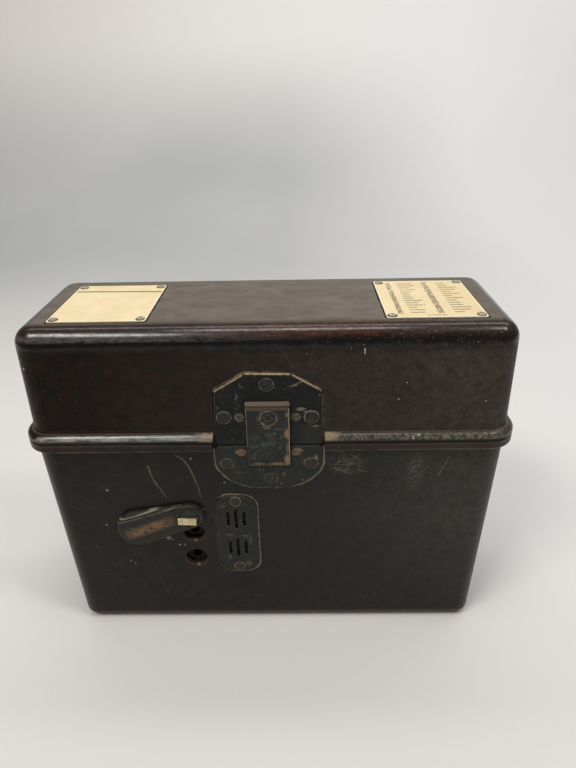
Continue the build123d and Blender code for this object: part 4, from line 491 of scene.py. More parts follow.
def label(name, which):
    cx, cy, w, d = LABELS[which]
    m = Mat(name)
    x, y, z = m.sep(m.p)
    u = m.math("DIVIDE", m.sub(x, cx - w / 2), w)
    v = m.math("DIVIDE", m.sub(y, cy - d / 2), d)
    big = m.noise(0.06, 3.0, 0.55)
    mid = m.noise(0.35, 4.0, 0.6)
    fine = m.noise(2.2, 3.0, 0.6)
    c = m.mix(m.map(big, 0.35, 0.65), (0.845, 0.700, 0.430), (0.775, 0.615, 0.345))
    if which == 1:
        c = m.mix(m.mul(m.map(u, 0.35, 1.0), 0.65), c, (0.735, 0.585, 0.330))
    c = m.mix(m.mul(m.map(mid, 0.52, 0.74), 0.22), c, (0.62, 0.47, 0.26))
    c = m.mix(m.mul(m.map(fine, 0.58, 0.8), 0.25), c, (0.55, 0.43, 0.26))
    sd = m.box2(x, y, cx, cy, w / 2, d / 2)
    # painted highlight: a lighter line just inside the plate's edge, standing for light on its bevel
    c = m.mix(m.mul(m.map(sd, -1.1, -0.35), m.map(mid, 0.3, 0.6, 0.35, 0.8)), c, (0.92, 0.84, 0.62))
    ink = None
    if which == 0:
        line = m.add(y, m.mul(m.add(x, 91.6), 0.028))
        ink = m.mul(m.map(m.abs(m.sub(line, 13.9)), 1.15, 0.80), m.math("GREATER_THAN", u, 0.02), m.math("LESS_THAN", u, 0.985))
        ink = m.mul(ink, m.map(fine, 0.2, 0.5, 0.75, 1.0))
        inkc = (0.060, 0.054, 0.018)
    else:
        inkc = (0.085, 0.062, 0.034)
        # two heavy broken columns and two groups of thin dashes: a generic printed table
        for u0, hw, v0, v1, step in ((0.152, 0.030, 0.09, 0.94, 0.030), (0.562, 0.036, 0.10, 0.95, 0.034)):
            col = m.mul(m.map(m.abs(m.sub(u, u0)), hw, hw * 0.7), m.math("GREATER_THAN", v, v0), m.math("LESS_THAN", v, v1))
            cell = m.voronoi(1.15, rand=0.9)
            broken = m.map(m.noise(1.25, 2.0, 0.6, vec=m.warp(loc=(u0 * 90, 2, 0))), m.map(v, 0.1, 0.9, 0.40, 0.46), m.map(v, 0.1, 0.9, 0.44, 0.52))
            gaps = 1.0
            a = m.mul(col, broken, gaps)
            ink = a if ink is None else m.mx(ink, a)
        rows = m.math("DIVIDE", m.sub(v, 0.09), 0.0605)
        band = m.map(m.abs(m.sub(m.math("FRACT", rows), 0.5)), 0.20, 0.12)
        ri = m.math("FLOOR", rows)
        wn = m.new("ShaderNodeTexWhiteNoise", noise_dimensions="1D")
        m.put(wn.inputs["W"], m.add(ri, 0.31))
        rnd = wn.outputs["Value"]
        for u0, span, k in ((0.252, 0.195, 0.0), (0.695, 0.205, 1.0)):
            wn2 = m.new("ShaderNodeTexWhiteNoise", noise_dimensions="1D")
            m.put(wn2.inputs["W"], m.add(ri, 17.7 * (k + 1)))
            length = m.map(wn2.outputs["Value"], 0, 1, span * 0.42, span)
            inside = m.mul(m.math("GREATER_THAN", u, u0), m.math("LESS_THAN", u, m.add(u0, length)))
            words = m.map(m.noise(0.62, 1.0, 0.5, vec=m.comb(x, m.mul(ri, 7.3), k)), 0.26, 0.34)
            a = m.mul(band, inside, words, m.math("GREATER_THAN", v, 0.09), m.math("LESS_THAN", v, 0.945))
            ink = m.mx(ink, a)
        foot = m.mul(m.map(m.abs(m.sub(v, 0.050)), 0.013, 0.007), m.math("GREATER_THAN", u, 0.41), m.math("LESS_THAN", u, 0.60), m.map(m.noise(0.7, 1.0), 0.38, 0.44))
        ink = m.mx(ink, m.mul(foot, 0.8))
        ink = m.mul(ink, m.map(fine, 0.25, 0.55, 0.55, 1.0))
    c = m.mix(m.mul(ink, 0.86), c, inkc)
    sc = m.scratches(0.2, (0.3, 1, 1), (0, 0, 0.4), 0.55, 0.006, 4.0)
    c = m.mix(m.mul(sc, 0.25), c, (0.60, 0.48, 0.30))
    m.set(color=c, rough=m.add(m.map(mid, 0.3, 0.7, 0.46, 0.60), m.mul(sc, 0.1)), normal=m.bump(m.add(fine, m.mul(sc, -0.5)), 0.03, 0.5))
    return m.mat


def assign(names, mat):
    for n in names:
        o = NODES[n]
        o.data.materials.clear()
        o.data.materials.append(mat)


# ---------------------------------------------------- assign the materials
assign(["lid_shell"], moulded("lid_moulding", True))
assign(["case_base"], moulded("base_moulding", False))
assign(["inner_panel", "socket_block"], inner_moulding("panel_moulding", 1.15))
assign(["handset_body", "earpiece_cap", "mouthpiece_cap", "talk_bar"], inner_moulding("handset_moulding", 0.85))
assign(["crank_knob", "front_terminal_knob", "rear_terminal_knob"], inner_moulding("knob_moulding", 0.95))


def up_wear(m, x, y, z):
    """Upper latch plate: strongest on the sloping and top edges, weak at the right, none at the left."""
    top = m.map(z, 176.0, 184.0)
    side = m.map(x, 20.0, 31.0, 0.05, 0.55)
    return m.mx(m.mul(top, m.map(x, 31.0, -5.0, 0.35, 1.0)), m.mul(side, m.inv(top)))


def low_wear(m, x, y, z):
    return m.map(x, -31.0, 31.0, 0.55, 1.3)


def line_wear(m, x, v, runs, seed, col, c, gap=(0.36, 0.50)):
    """Paint rubbed through along straight edges. runs: x0, v0, x1, v1, half width, strength."""
    lines = None
    for ax, av, bx, bv, w, k in runs:
        a = m.mul(m.map(m.seg(x, v, ax, av, bx, bv), w * 1.5, w * 0.55), k)
        lines = a if lines is None else m.mx(lines, a)
    lines = m.mul(lines, m.map(m.noise(0.42, 5.0, 0.75, vec=m.warp(loc=(seed, seed * 3.1, 5))), gap[0], gap[1]))
    lines = m.mul(lines, m.map(m.noise(1.5, 3.0, 0.7), 0.30, 0.50, 0.55, 1.0))
    return m.mix(lines, c, col)


def blot(m, x, v, spots, seed, col, c):
    """Irregular bare or rusty patches. spots: x, v, half width, half height, strength."""
    ragged = m.mul(m.sub(m.noise(0.95, 5.0, 0.80, vec=m.warp(loc=(seed, 2, seed))), 0.5), 2.6)
    total = None
    for cx, cv, rx, rv, k in spots:
        dd = m.math("SQRT", m.add(m.math("POWER", m.math("DIVIDE", m.sub(x, cx), rx), 2.0), m.math("POWER", m.math("DIVIDE", m.sub(v, cv), rv), 2.0)))
        a = m.mul(m.map(m.add(dd, ragged), 1.0, 0.55), k)
        total = a if total is None else m.mx(total, a)
    return m.mix(total, c, col)


def upper_extra(m, x, y, z, c):
    v = m.sub(z, SEAM)
    c = line_wear(m, x, v, [
        (-28.6, 31.9, -12.4, 41.9, 0.42, 0.95), (-11.0, 42.4, 12.6, 41.9, 0.46, 1.0), (14.2, 41.3, 29.8, 31.9, 0.44, 0.85),
        (30.7, 29.5, 30.8, -1.5, 0.30, 0.45), (-28.8, 29.0, -30.3, 4.0, 0.25, 0.20),
    ], 3.0, (0.38, 0.285, 0.180), c)
    # scores across the upper part, as left by a dragged buckle
    c = line_wear(m, x, v, [(13.0, 34.6, 16.5, 35.4, 0.38, 0.75), (15.0, 35.6, 19.2, 37.4, 0.32, 0.7), (-14.6, 34.4, -14.2, 37.0, 0.22, 0.6), (-17.0, 27.0, -16.6, 29.5, 0.3, 0.4)], 8.0, (0.27, 0.205, 0.130), c, (0.38, 0.50))
    c = blot(m, x, v, [(18.6, 20.6, 3.0, 1.3, 0.8), (21.6, 18.6, 1.6, 1.0, 0.6), (26.6, 9.6, 2.2, 0.9, 0.75), (15.8, 15.6, 2.9, 2.6, 0.45), (-15.8, 15.4, 2.9, 2.6, 0.40), (24.5, 15.5, 4.4, 4.2, 0.22)], 4.0, (0.215, 0.190, 0.135), c)
    c = m.mix(m.mul(m.specks(0.95, 0.26, 0.5, 21.0), m.map(m.seg(x, v, -16.0, 15.4, 25.0, 15.8), 5.5, 2.0), m.map(m.abs(x), 9.0, 14.0), 0.55), c, (0.34, 0.31, 0.23))
    right_film = m.mul(m.map(x, 12.0, 22.0), m.map(v, 14.0, 8.0), 0.45)
    c = m.mix(right_film, c, (0.036, 0.036, 0.029))
    return c


def lower_extra(m, x, y, z, c):
    v = m.sub(z, SEAM)
    c = blot(m, x, v, [(16.8, -6.6, 3.0, 2.0, 0.75), (-16.4, -7.7, 3.4, 2.3, 0.9), (23.0, -15.2, 4.0, 3.2, 0.45), (27.0, -12.5, 1.6, 2.6, 0.7), (-24.5, -16.0, 3.6, 2.8, 0.30), (1.6, -26.0, 1.6, 3.2, 0.5), (8.5, -24.0, 1.2, 2.0, 0.3)], 6.0, (0.27, 0.175, 0.095), c)
    c = m.mix(m.mul(m.specks(0.80, 0.30, 0.55, 17.0), m.map(m.seg(x, v, 16.0, -7.0, 27.0, -17.0), 6.5, 2.5), 0.7), c, (0.40, 0.34, 0.22))
    c = m.mix(m.mul(m.specks(0.70, 0.22, 0.35, 18.0), m.map(m.noise(0.12, 2.0), 0.40, 0.55), 0.45), c, (0.26, 0.20, 0.12))
    return c


def tongue_extra(m, x, y, z, c):
    nx, ny, nz = m.sep(m.n)
    # greyish rubbed clouds over the middle
    smudge = m.mul(m.map(m.noise(0.33, 5.0, 0.78, vec=m.warp(loc=(4, 2, 19), rot=(0, 0.6, 0), scale=(1, 1, 1.6))), 0.50, 0.62), m.map(m.seg(x, z, -5.0, 149.0, 4.0, 156.0), 10.0, 3.0))
    c = m.mix(m.mul(smudge, 0.55), c, (0.115, 0.120, 0.098))
    c = line_wear(m, x, z, [
        (-11.2, 173.8, 11.2, 173.8, 1.0, 0.75),
    ], 7.0, (0.135, 0.082, 0.048), c, (0.25, 0.40))
    c = line_wear(m, x, z, [
        (11.9, 174.0, 11.9, 137.0, 0.20, 0.9), (-11.0, 135.8, 11.6, 135.8, 0.32, 0.9), (-11.9, 174.0, -11.9, 150.0, 0.16, 0.45),
    ], 5.0, (0.46, 0.345, 0.215), c, (0.30, 0.44))
    c = blot(m, x, z, [(10.8, 157.6, 1.9, 4.0, 0.9), (10.9, 148.0, 1.2, 4.0, 0.45), (10.6, 139.6, 2.0, 4.4, 0.85), (5.0, 137.0, 6.0, 1.2, 0.6), (-6.0, 137.2, 4.0, 0.9, 0.5), (10.9, 170.0, 1.2, 2.0, 0.6), (-0.6, 161.8, 2.2, 1.0, 0.7), (-2.6, 164.4, 1.2, 1.3, 0.6)], 9.0, (0.27, 0.165, 0.095), c)
    d = m.math("SQRT", m.add(m.math("POWER", m.sub(x, 0.3), 2.0), m.math("POWER", m.sub(z, 167.6), 2.0)))
    broken = m.map(m.noise(0.8, 4.0, 0.7), 0.40, 0.54)
    c = m.mix(m.mul(m.map(m.abs(m.sub(d, 4.7)), 0.50, 0.15), broken, 0.65), c, (0.25, 0.225, 0.165))
    c = m.mix(m.mul(m.specks(1.0, 0.3, 0.4, 23.0), m.map(d, 5.4, 4.0), 0.6), c, (0.34, 0.29, 0.20))
    c = line_wear(m, x, z, [(-9.0, 148.0, 1.5, 151.6, 0.13, 0.5), (-2.0, 146.5, 4.0, 157.0, 0.10, 0.35), (-9.8, 142.0, -6.0, 146.0, 0.12, 0.4), (3.5, 160.5, 8.0, 161.0, 0.15, 0.5)], 2.0, (0.25, 0.245, 0.20), c, (0.36, 0.48))
    # upward edge rubbed to the metal
    c = m.mix(m.mul(m.map(nz, 0.45, 0.75), m.map(m.noise(0.5, 4.0, 0.7), 0.3, 0.5, 0.6, 0.95)), c, (0.150, 0.110, 0.075))
    return c


assign(["latch_upper_plate"], enamel("upper_plate_enamel", up_wear, tone=(0.0040, 0.0058, 0.0050), edge_gain=0.5, edge_col=(0.38, 0.265, 0.15), extra=upper_extra).mat)
assign(["latch_lower_plate"], enamel("lower_plate_enamel", low_wear, tone=(0.0120, 0.0152, 0.0122), edge_gain=0.9, edge_col=(0.32, 0.19, 0.095), extra=lower_extra).mat)
def grille_extra(m, x, y, z, c):
    near_slots = m.map(m.seg(x, z, -22.0, 92.0, -21.0, 58.0), 11.0, 5.0)
    c = m.mix(m.mul(m.specks(0.85, 0.24, 0.30, 27.0), near_slots, m.map(m.noise(0.10, 2.0, vec=m.warp(loc=(7, 7, 7))), 0.42, 0.52), 0.7), c, (0.42, 0.42, 0.36))
    c = blot(m, x, z, [(-16.0, 54.0, 2.4, 3.0, 0.4), (-28.0, 60.0, 1.6, 3.0, 0.35), (-14.0, 74.0, 1.2, 4.0, 0.35), (-27.0, 79.5, 4.0, 0.9, 0.45), (-17.0, 78.6, 3.4, 0.8, 0.4), (-30.0, 103.0, 2.4, 1.6, 0.35)], 12.0, (0.150, 0.135, 0.095), c)
    return c


assign(["grille_plate"], enamel("grille_enamel", None, tone=(0.0108, 0.0130, 0.0105), edge_gain=0.6, edge_col=(0.24, 0.185, 0.115), extra=grille_extra).mat)
assign(["base_hinge_leaves", "lid_hinge_leaves"], enamel("hinge_enamel", None, edge_gain=0.8).mat)

# latch tongue: lighter green, bare wear along its edges
tg = enamel("tongue_enamel", None, tone=(0.0132, 0.0168, 0.0136), edge_r=0.6, edge_gain=0.5, edge_col=(0.42, 0.30, 0.18), extra=tongue_extra)
assign(["latch_tongue"], tg.mat)

# socket flap: brown rub along its middle, painted highlight lines on its top edge
fm = enamel("flap_enamel", None, tone=(0.0150, 0.0145, 0.0100), edge_r=0.9, edge_gain=0.30, edge_col=(0.20, 0.16, 0.10))
x, y, z = fm.sep(fm.p)
ux, uz = math.cos(FLAP_DIR), math.sin(FLAP_DIR)
px, pz = fm.sub(x, FLAP_PIVOT[0]), fm.sub(z, FLAP_PIVOT[1])
fu = fm.add(fm.mul(px, ux), fm.mul(pz, uz))
fw = fm.add(fm.mul(px, -uz), fm.mul(pz, ux))
line = fm.sub(fw, fm.map(fu, 8.0, 42.0, -1.5, 2.2))
streak = fm.mul(fm.map(fm.abs(line), 4.6, 1.4), fm.map(fu, 8.0, 15.0), fm.map(fu, 46.0, 38.0))
streak = fm.mul(streak, fm.map(fm.noise(0.5, 4.0, 0.72), 0.34, 0.58))
base_link = fm.b.inputs["Base Color"].links[0].from_socket
fc = fm.mix(fm.mul(streak, 0.9), base_link, (0.220, 0.120, 0.060))
fc = fm.mix(fm.mul(streak, fm.map(fm.noise(1.4, 3.0, 0.7), 0.50, 0.64), 0.7), fc, (0.42, 0.25, 0.13))
# two thin painted highlight lines along the raised upper edge
upside = fm.map(fu, 4.0, 9.0)
for off, hw_, k_ in ((-11.9, 0.42, 0.75), (-9.7, 0.26, 0.50)):
    target = fm.map(fu, 0.0, 36.0, off - 0.4, off + 1.0)
    flap_edge_highlight = fm.mul(fm.map(fm.abs(fm.sub(fw, target)), hw_ * 1.7, hw_ * 0.5), upside, fm.map(fm.noise(0.5, 4.0, 0.7), 0.30, 0.50), k_)
    fc = fm.mix(flap_edge_highlight, fc, (0.30, 0.27, 0.20))
fm.set(color=fc)
assign(["socket_flap"], fm.mat)

# labels
assign(["left_label_plate"], label("left_label_paint", 0))
assign(["right_label_plate"], label("right_label_paint", 1))

# small metal parts
assign(
    ["base_latch_screws", "lid_latch_screws", "grille_screws",
     "flap_pivot_screw", "base_hinge_screws", "lid_hinge_screws"],
    metal("dark_screw_metal", (0.009, 0.010, 0.008), (0.022, 0.019, 0.013), 0.38, 0.55, dirt=(0.010, 0.010, 0.008),
          dirt_amt=0.6, metallic=0.25, edge_col=(0.27, 0.245, 0.185)),
)
assign(["lid_latch_rivets"], metal("rivet_brass", (0.16, 0.130, 0.085), (0.07, 0.055, 0.036), 0.42, 0.6, dirt=(0.02, 0.018, 0.013), dirt_amt=0.8, metallic=0.3, edge_col=(0.05, 0.042, 0.028)))
assign(["base_latch_rivets"], metal("rivet_rust", (0.21, 0.125, 0.066), (0.12, 0.070, 0.038), 0.55, 0.75, dirt=(0.030, 0.023, 0.015), dirt_amt=0.7, metallic=0.15))
# the dark edge_col rings each label screw head with painted shade
assign(["label_screws"], metal("label_screw_metal", (0.56, 0.51, 0.40), (0.38, 0.34, 0.26), 0.36, 0.5, dirt=(0.05, 0.040, 0.026), dirt_amt=0.5, metallic=0.45, edge_col=(0.10, 0.085, 0.06)))
assign(["panel_screws", "latch_pin", "hinge_pins", "drive_shaft", "clapper", "crank_arm", "armature_pinion"],
       metal("steel_metal", (0.42, 0.41, 0.39), (0.30, 0.29, 0.275), 0.26, 0.42, dirt_amt=0.35, brush=(1, 0.15, 0.15)))
assign(["flap_lock_tab"], metal("lock_tab_brass", (0.90, 0.74, 0.46), (0.80, 0.62, 0.36), 0.34, 0.50,
                                dirt=(0.26, 0.17, 0.09), dirt_amt=0.55, metallic=0.35))
assign(["terminal_posts", "generator_frame", "generator_bushes", "drive_gear", "crank_port_bush"],
       metal("brass_metal", (0.62, 0.45, 0.20), (0.45, 0.31, 0.13), 0.28, 0.46, dirt=(0.09, 0.06, 0.03), dirt_amt=0.5))
assign(["battery_box", "bell_frame", "capacitor"],
       metal("zinc_metal", (0.42, 0.43, 0.42), (0.31, 0.32, 0.315), 0.38, 0.55, dirt=(0.16, 0.15, 0.13), dirt_amt=0.5, brush=(0.2, 1, 1)))
assign(["handset_capsules"], metal("capsule_metal", (0.60, 0.60, 0.59), (0.47, 0.47, 0.46), 0.30, 0.45, dirt_amt=0.3))
assign(["bell_gongs"], metal("gong_metal", (0.68, 0.68, 0.67), (0.56, 0.56, 0.55), 0.12, 0.25, dirt_amt=0.2))
assign(["horseshoe_magnets", "pole_shoes", "armature_core"],
       metal("magnet_metal", (0.115, 0.115, 0.118), (0.075, 0.074, 0.075), 0.38, 0.56, dirt=(0.07, 0.045, 0.028), dirt_amt=0.6, metallic=0.75,
             edge_col=(0.26, 0.25, 0.24)))


assign(["socket_sleeves"], metal("socket_metal", (0.010, 0.007, 0.004), (0.022, 0.013, 0.006), 0.55, 0.7, dirt=(0.006, 0.005, 0.004), dirt_amt=0.8, metallic=0.5))


def winding(name):
    m = Mat(name)
    x, y, z = m.sep(m.p)
    turns = m.math("SINE", m.mul(m.add(m.add(x, m.mul(y, 0.35)), m.mul(z, 0.35)), 2 * math.pi / 0.62))
    turns = m.map(turns, -1, 1)
    mid = m.noise(0.5, 3.0, 0.6)
    c = m.mix(turns, (0.050, 0.020, 0.008), (0.245, 0.105, 0.038))
    c = m.mix(m.mul(m.map(mid, 0.5, 0.75), 0.5), c, (0.12, 0.085, 0.045))
    m.set(color=c, rough=m.map(mid, 0.3, 0.7, 0.34, 0.5), normal=m.bump(turns, 0.16, 0.8))
    m.b.inputs["Metallic"].default_value = 0.35
    return m.mat


assign(["armature_winding", "bell_coils", "induction_coil"], winding("winding_enamel"))


def rubber(name):
    m = Mat(name)
    fine = m.noise(1.4, 4.0, 0.65)
    mid = m.noise(0.2, 3.0)
    c = m.mix(m.map(fine, 0.35, 0.7), (0.013, 0.013, 0.013), (0.034, 0.032, 0.030))
    c = m.mix(m.mul(m.map(mid, 0.5, 0.7), 0.4), c, (0.075, 0.068, 0.058))
    m.set(color=c, rough=m.map(fine, 0.3, 0.7, 0.66, 0.84), normal=m.bump(fine, 0.1, 0.6))
    return m.mat


assign(["lid_gasket", "handset_gland"], rubber("gasket_rubber"))


def paper(name):
    m = Mat(name)
    x, y, z = m.sep(m.p)
    fibre = m.noise(1.6, 4.0, 0.7, vec=m.warp(scale=(0.3, 1, 1)))
    mid = m.noise(0.12, 4.0, 0.6)
    c = m.mix(m.map(mid, 0.35, 0.65), (0.42, 0.295, 0.165), (0.345, 0.225, 0.120))
    c = m.mix(m.mul(m.map(fibre, 0.5, 0.7), 0.35), c, (0.25, 0.165, 0.09))
    stripe = m.mul(m.map(m.abs(m.sub(m.math("FRACT", m.math("DIVIDE", z, 26.0)), 0.5)), 0.10, 0.08), 0.8)
    c = m.mix(stripe, c, (0.30, 0.055, 0.035))
    m.set(color=c, rough=m.map(fibre, 0.3, 0.7, 0.72, 0.86), normal=m.bump(fibre, 0.08, 0.6))
    return m.mat


assign(["battery_cell"], paper("cell_paper"))


def red_plastic(name):
    m = Mat(name)
    mid = m.noise(0.5, 4.0, 0.6)
    c = m.mix(m.map(mid, 0.35, 0.68), (0.33, 0.022, 0.014), (0.22, 0.016, 0.011))
    c = m.mix(m.mul(m.edge(0.4), 0.5), c, (0.48, 0.12, 0.08))
    m.set(color=c, rough=m.map(mid, 0.3, 0.7, 0.3, 0.42), normal=m.bump(mid, 0.05, 0.4))
    return m.mat


assign(["test_button"], red_plastic("button_plastic"))


def gauze(name):
    m = Mat(name)
    x, y, z = m.sep(m.p)
    a = m.math("SINE", m.mul(m.add(x, z), 2 * math.pi / 0.9))
    b = m.math("SINE", m.mul(m.sub(x, z), 2 * math.pi / 0.9))
    wires = m.map(m.mx(a, b), 0.55, 0.95)
    c = m.mix(wires, (0.0015, 0.0015, 0.0015), (0.020, 0.016, 0.011))
    m.set(color=c, rough=m.map(wires, 0, 1, 0.9, 0.55), normal=m.bump(wires, 0.3, 0.8))
    return m.mat


assign(["grille_gauze"], gauze("gauze_wire"))


def diagram(name):
    """Cream plate with a plain generic wiring pattern: a border, straight runs and small rings."""
    m = Mat(name)
    lo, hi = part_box("inner_diagram_plate")
    cx, cy = (lo.x + hi.x) * 500, (lo.y + hi.y) * 500
    hw, hd = (hi.x - lo.x) * 500, (hi.y - lo.y) * 500
    x, y, z = m.sep(m.p)
    mid = m.noise(0.08, 4.0, 0.6)
    fine = m.noise(1.5, 3.0, 0.6)
    c = m.mix(m.map(mid, 0.35, 0.68), (0.70, 0.575, 0.345), (0.60, 0.475, 0.265))
    c = m.mix(m.mul(m.map(fine, 0.55, 0.75), 0.3), c, (0.45, 0.345, 0.20))
    sd = m.box2(x, y, cx, cy, hw - 3, hd - 3)
    ink = m.map(m.abs(sd), 0.45, 0.25)
    for row in (-16.0, -6.0, 5.0, 15.0):
        ink = m.mx(ink, m.mul(m.map(m.abs(m.sub(y, cy + row)), 0.35, 0.2), m.map(m.noise(0.05, 1.0, vec=m.comb(x, row * 9.0, 0.0)), 0.44, 0.46), m.map(sd, -4.0, -6.0)))
    for colx in (-70.0, -48.0, -20.0, 8.0, 33.0, 61.0):
        ink = m.mx(ink, m.mul(m.map(m.abs(m.sub(x, cx + colx)), 0.35, 0.2), m.map(m.noise(0.09, 1.0, vec=m.comb(colx * 3.0, y, 5.0)), 0.47, 0.49), m.map(sd, -4.0, -6.0)))
    for rx, ry, r in ((-70, 5, 4), (-20, -6, 5.5), (33, 15, 3.4), (61, -6, 4.6), (8, 5, 3.2)):
        dd = m.math("SQRT", m.add(m.math("POWER", m.sub(x, cx + rx), 2.0), m.math("POWER", m.sub(y, cy + ry), 2.0)))
        ink = m.mx(ink, m.map(m.abs(m.sub(dd, float(r))), 0.45, 0.25))
    c = m.mix(m.mul(ink, 0.82), c, (0.06, 0.05, 0.035))
    m.set(color=c, rough=m.map(fine, 0.3, 0.7, 0.5, 0.64), normal=m.bump(fine, 0.03, 0.5))
    return m.mat


assign(["inner_diagram_plate"], diagram("diagram_print"))


# ------------------------------------------------------------ settled dust, and painted shade round the labels and their screws
def dust_mat(name, a=(0.30, 0.215, 0.135), b=(0.20, 0.135, 0.080)):
    m = Mat(name)
    mid = m.noise(0.5, 4.0, 0.7)
    fine = m.noise(3.0, 3.0, 0.7)
    c = m.mix(m.map(mid, 0.35, 0.66), a, b)
    c = m.mix(m.mul(m.map(fine, 0.5, 0.7), 0.5), c, tuple(v * 0.45 for v in b))
    m.set(color=c, rough=m.map(fine, 0.3, 0.7, 0.78, 0.92), normal=m.bump(fine, 0.12, 0.8))
    return m.mat


def rand(i, seed):
    v = math.sin(i * 12.9898 + seed * 78.233) * 43758.5453
    return v - math.floor(v)


def smooth_rand(t, seed):
    i = math.floor(t)
    f = t - i
    f = f * f * (3 - 2 * f)
    return rand(i, seed) * (1 - f) + rand(i + 1, seed) * f


def resample(pts, step, closed):
    src = list(pts) + ([pts[0]] if closed else [])
    out, carry = [], 0.0
    for a, b in zip(src, src[1:]):
        d = math.dist(a, b)
        t = carry
        while t < d:
            k = t / d
            out.append((a[0] + (b[0] - a[0]) * k, a[1] + (b[1] - a[1]) * k))
            t += step
        carry = t - d
    if not closed:
        out.append(src[-1])
    return out


def ribbon(name, pts, place, width, n0, height, cover, mat, body, seed, closed=True):
    """A low bank along a line on a wall: packed dust, and with the dark gap material painted shade. cover(x, v) gives
    how much lies there, 0 to 1.
    """
    path = resample(pts, 0.5, closed)
    k = len(path)
    bm = bmesh.new()
    rows = []
    for i, (px_, pv_) in enumerate(path):
        a, b = path[(i - 1) % k], path[(i + 1) % k]
        if not closed:
            a, b = path[max(i - 1, 0)], path[min(i + 1, k - 1)]
        dx, dv = b[0] - a[0], b[1] - a[1]
        l = math.hypot(dx, dv) or 1.0
        nxx, nvv = -dv / l, dx / l
        s = i * 0.5
        amt = cover(px_, pv_) * (0.45 + 0.75 * smooth_rand(s / 2.6, seed)) * (0.6 + 0.6 * smooth_rand(s / 0.8, seed + 3))
        w = width * min(max(amt, 0.06), 1.15) / 2
        hgt = min(height * min(max(amt, 0.04), 1.1), max(0.10 - n0, 0.05))
        off = (smooth_rand(s / 1.7, seed + 7) - 0.5) * width * 0.25
        row = []
        for t, hh in ((-1.0, 0.0), (-0.55, 0.72), (0.0, 1.0), (0.55, 0.75), (1.0, 0.0)):
            q = place(px_ + nxx * (off + t * w), pv_ + nvv * (off + t * w), n0 + hh * hgt)
            row.append(bm.verts.new(q))
        rows.append(row)
    n = k if closed else k - 1
    for i in range(n):
        r, q = rows[i], rows[(i + 1) % k]
        for j in range(4):
            bm.faces.new((r[j], r[j + 1], q[j + 1], q[j]))
        bm.faces.new((r[4], r[0], q[0], q[4]))
    if not closed:
        bm.faces.new(list(reversed(rows[0])))
        bm.faces.new(rows[-1])
    bmesh.ops.recalc_face_normals(bm, faces=bm.faces)
    mesh = bpy.data.meshes.new(name)
    bm.to_mesh(mesh)
    bm.free()
    for f in mesh.polygons:
        f.use_smooth = True
    o = bpy.data.objects.new(name, mesh)
    scene.collection.objects.link(o)
    mesh.materials.append(mat)
    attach(o, body)
    return o


def offset_poly(poly, d):
    out = []
    k = len(poly)
    area = sum(poly[i][0] * poly[(i + 1) % k][1] - poly[(i + 1) % k][0] * poly[i][1] for i in range(k))
    sgn = 1.0 if area > 0 else -1.0
    for i in range(k):
        (ax, ay), (bx, by), (cx, cy) = poly[i - 1], poly[i], poly[(i + 1) % k]
        def nrm(px_, py_, qx, qy):
            l = math.hypot(qx - px_, qy - py_)
            return ((qy - py_) / l * sgn, -(qx - px_) / l * sgn)
        n1, n2 = nrm(ax, ay, bx, by), nrm(bx, by, cx, cy)
        mx_, my_ = n1[0] + n2[0], n1[1] + n2[1]
        l2 = mx_ * mx_ + my_ * my_
        s = 2 * d / l2
        out.append((bx + mx_ * s, by + my_ * s))
    return out


def rounded(poly, radii, step=8):
    """The outline with its corners turned to arcs."""
    out, k = [], len(poly)
    for i in range(k):
        a, b, c = Vector(poly[i - 1]), Vector(poly[i]), Vector(poly[(i + 1) % k])
        u, w = (a - b).normalized(), (c - b).normalized()
        half = u.angle(w) / 2
        t = radii[i] / math.tan(half)
        centre = b + (u + w).normalized() * (radii[i] / math.sin(half))
        p0, p1 = b + u * t, b + w * t
        r0, r1 = p0 - centre, p1 - centre
        turn = r0.angle_signed(r1)
        for j in range(step + 1):
            q = -turn * j / step
            out.append((centre.x + r0.x * math.cos(q) - r0.y * math.sin(q), centre.y + r0.x * math.sin(q) + r0.y * math.cos(q)))
    return out


tan_dust = dust_mat("tan_dust")
olive_tan = dust_mat("olive_tan_dust", (0.27, 0.215, 0.140), (0.17, 0.130, 0.080))
pale_dust = dust_mat("pale_dust", (0.42, 0.34, 0.235), (0.27, 0.20, 0.125))


def stadium(cx, cy, w, h, r, step=10):
    pts = []
    for qx, qy, a0 in ((1, 1, 0), (-1, 1, 90), (-1, -1, 180), (1, -1, 270)):
        for i in range(step + 1):
            a = math.radians(a0 + 90 * i / step)
            pts.append((cx + qx * (w / 2 - r) + r * math.cos(a), cy + qy * (h / 2 - r) + r * math.sin(a)))
    return pts


gx, gv = -22.0, 79.0 - SEAM


def grille_cover(px_, pv_):
    t = (pv_ - gv) / 32.0
    side = (px_ - gx) / 12.8
    amt = 0.30
    if t > 0.55:
        amt = 0.85
    if side > 0.8:
        amt = 0.75
    if side > 0.3 and t < -0.45:
        amt = 1.1
    if side < -0.8:
        amt = 0.16
    if t < -0.9 and abs(side) < 0.5:
        amt = 0.85
    return amt


ribbon("grille_dust", stadium(gx, gv, 26.4, 64.8, 9.6), base_front, 1.05, -0.78, 1.25, grille_cover, tan_dust, "case", 5)


def lower_cover(px_, pv_):
    if pv_ > -5.0:
        return 0.0
    if px_ < -30:
        return 0.75
    if px_ < -12:
        return 0.8
    if px_ > 18:
        return 1.25
    return 0.5 if px_ < 14 else 0.9


ribbon("lower_plate_dust", rounded(offset_poly(LOWER_PLATE, 0.45), LOWER_ROUND), base_front, 1.10, -1.18, 1.75, lower_cover, tan_dust, "case", 9)


def upper_cover(px_, pv_):
    if pv_ < 2:
        return 0.0
    if pv_ > 31:
        return 1.0 if px_ < 8 else 0.55
    return 0.42 if px_ > 0 else 0.10


def top_place(x_, y_, n):
    return Vector((x_, y_, TOP_Z + n)) / 1000


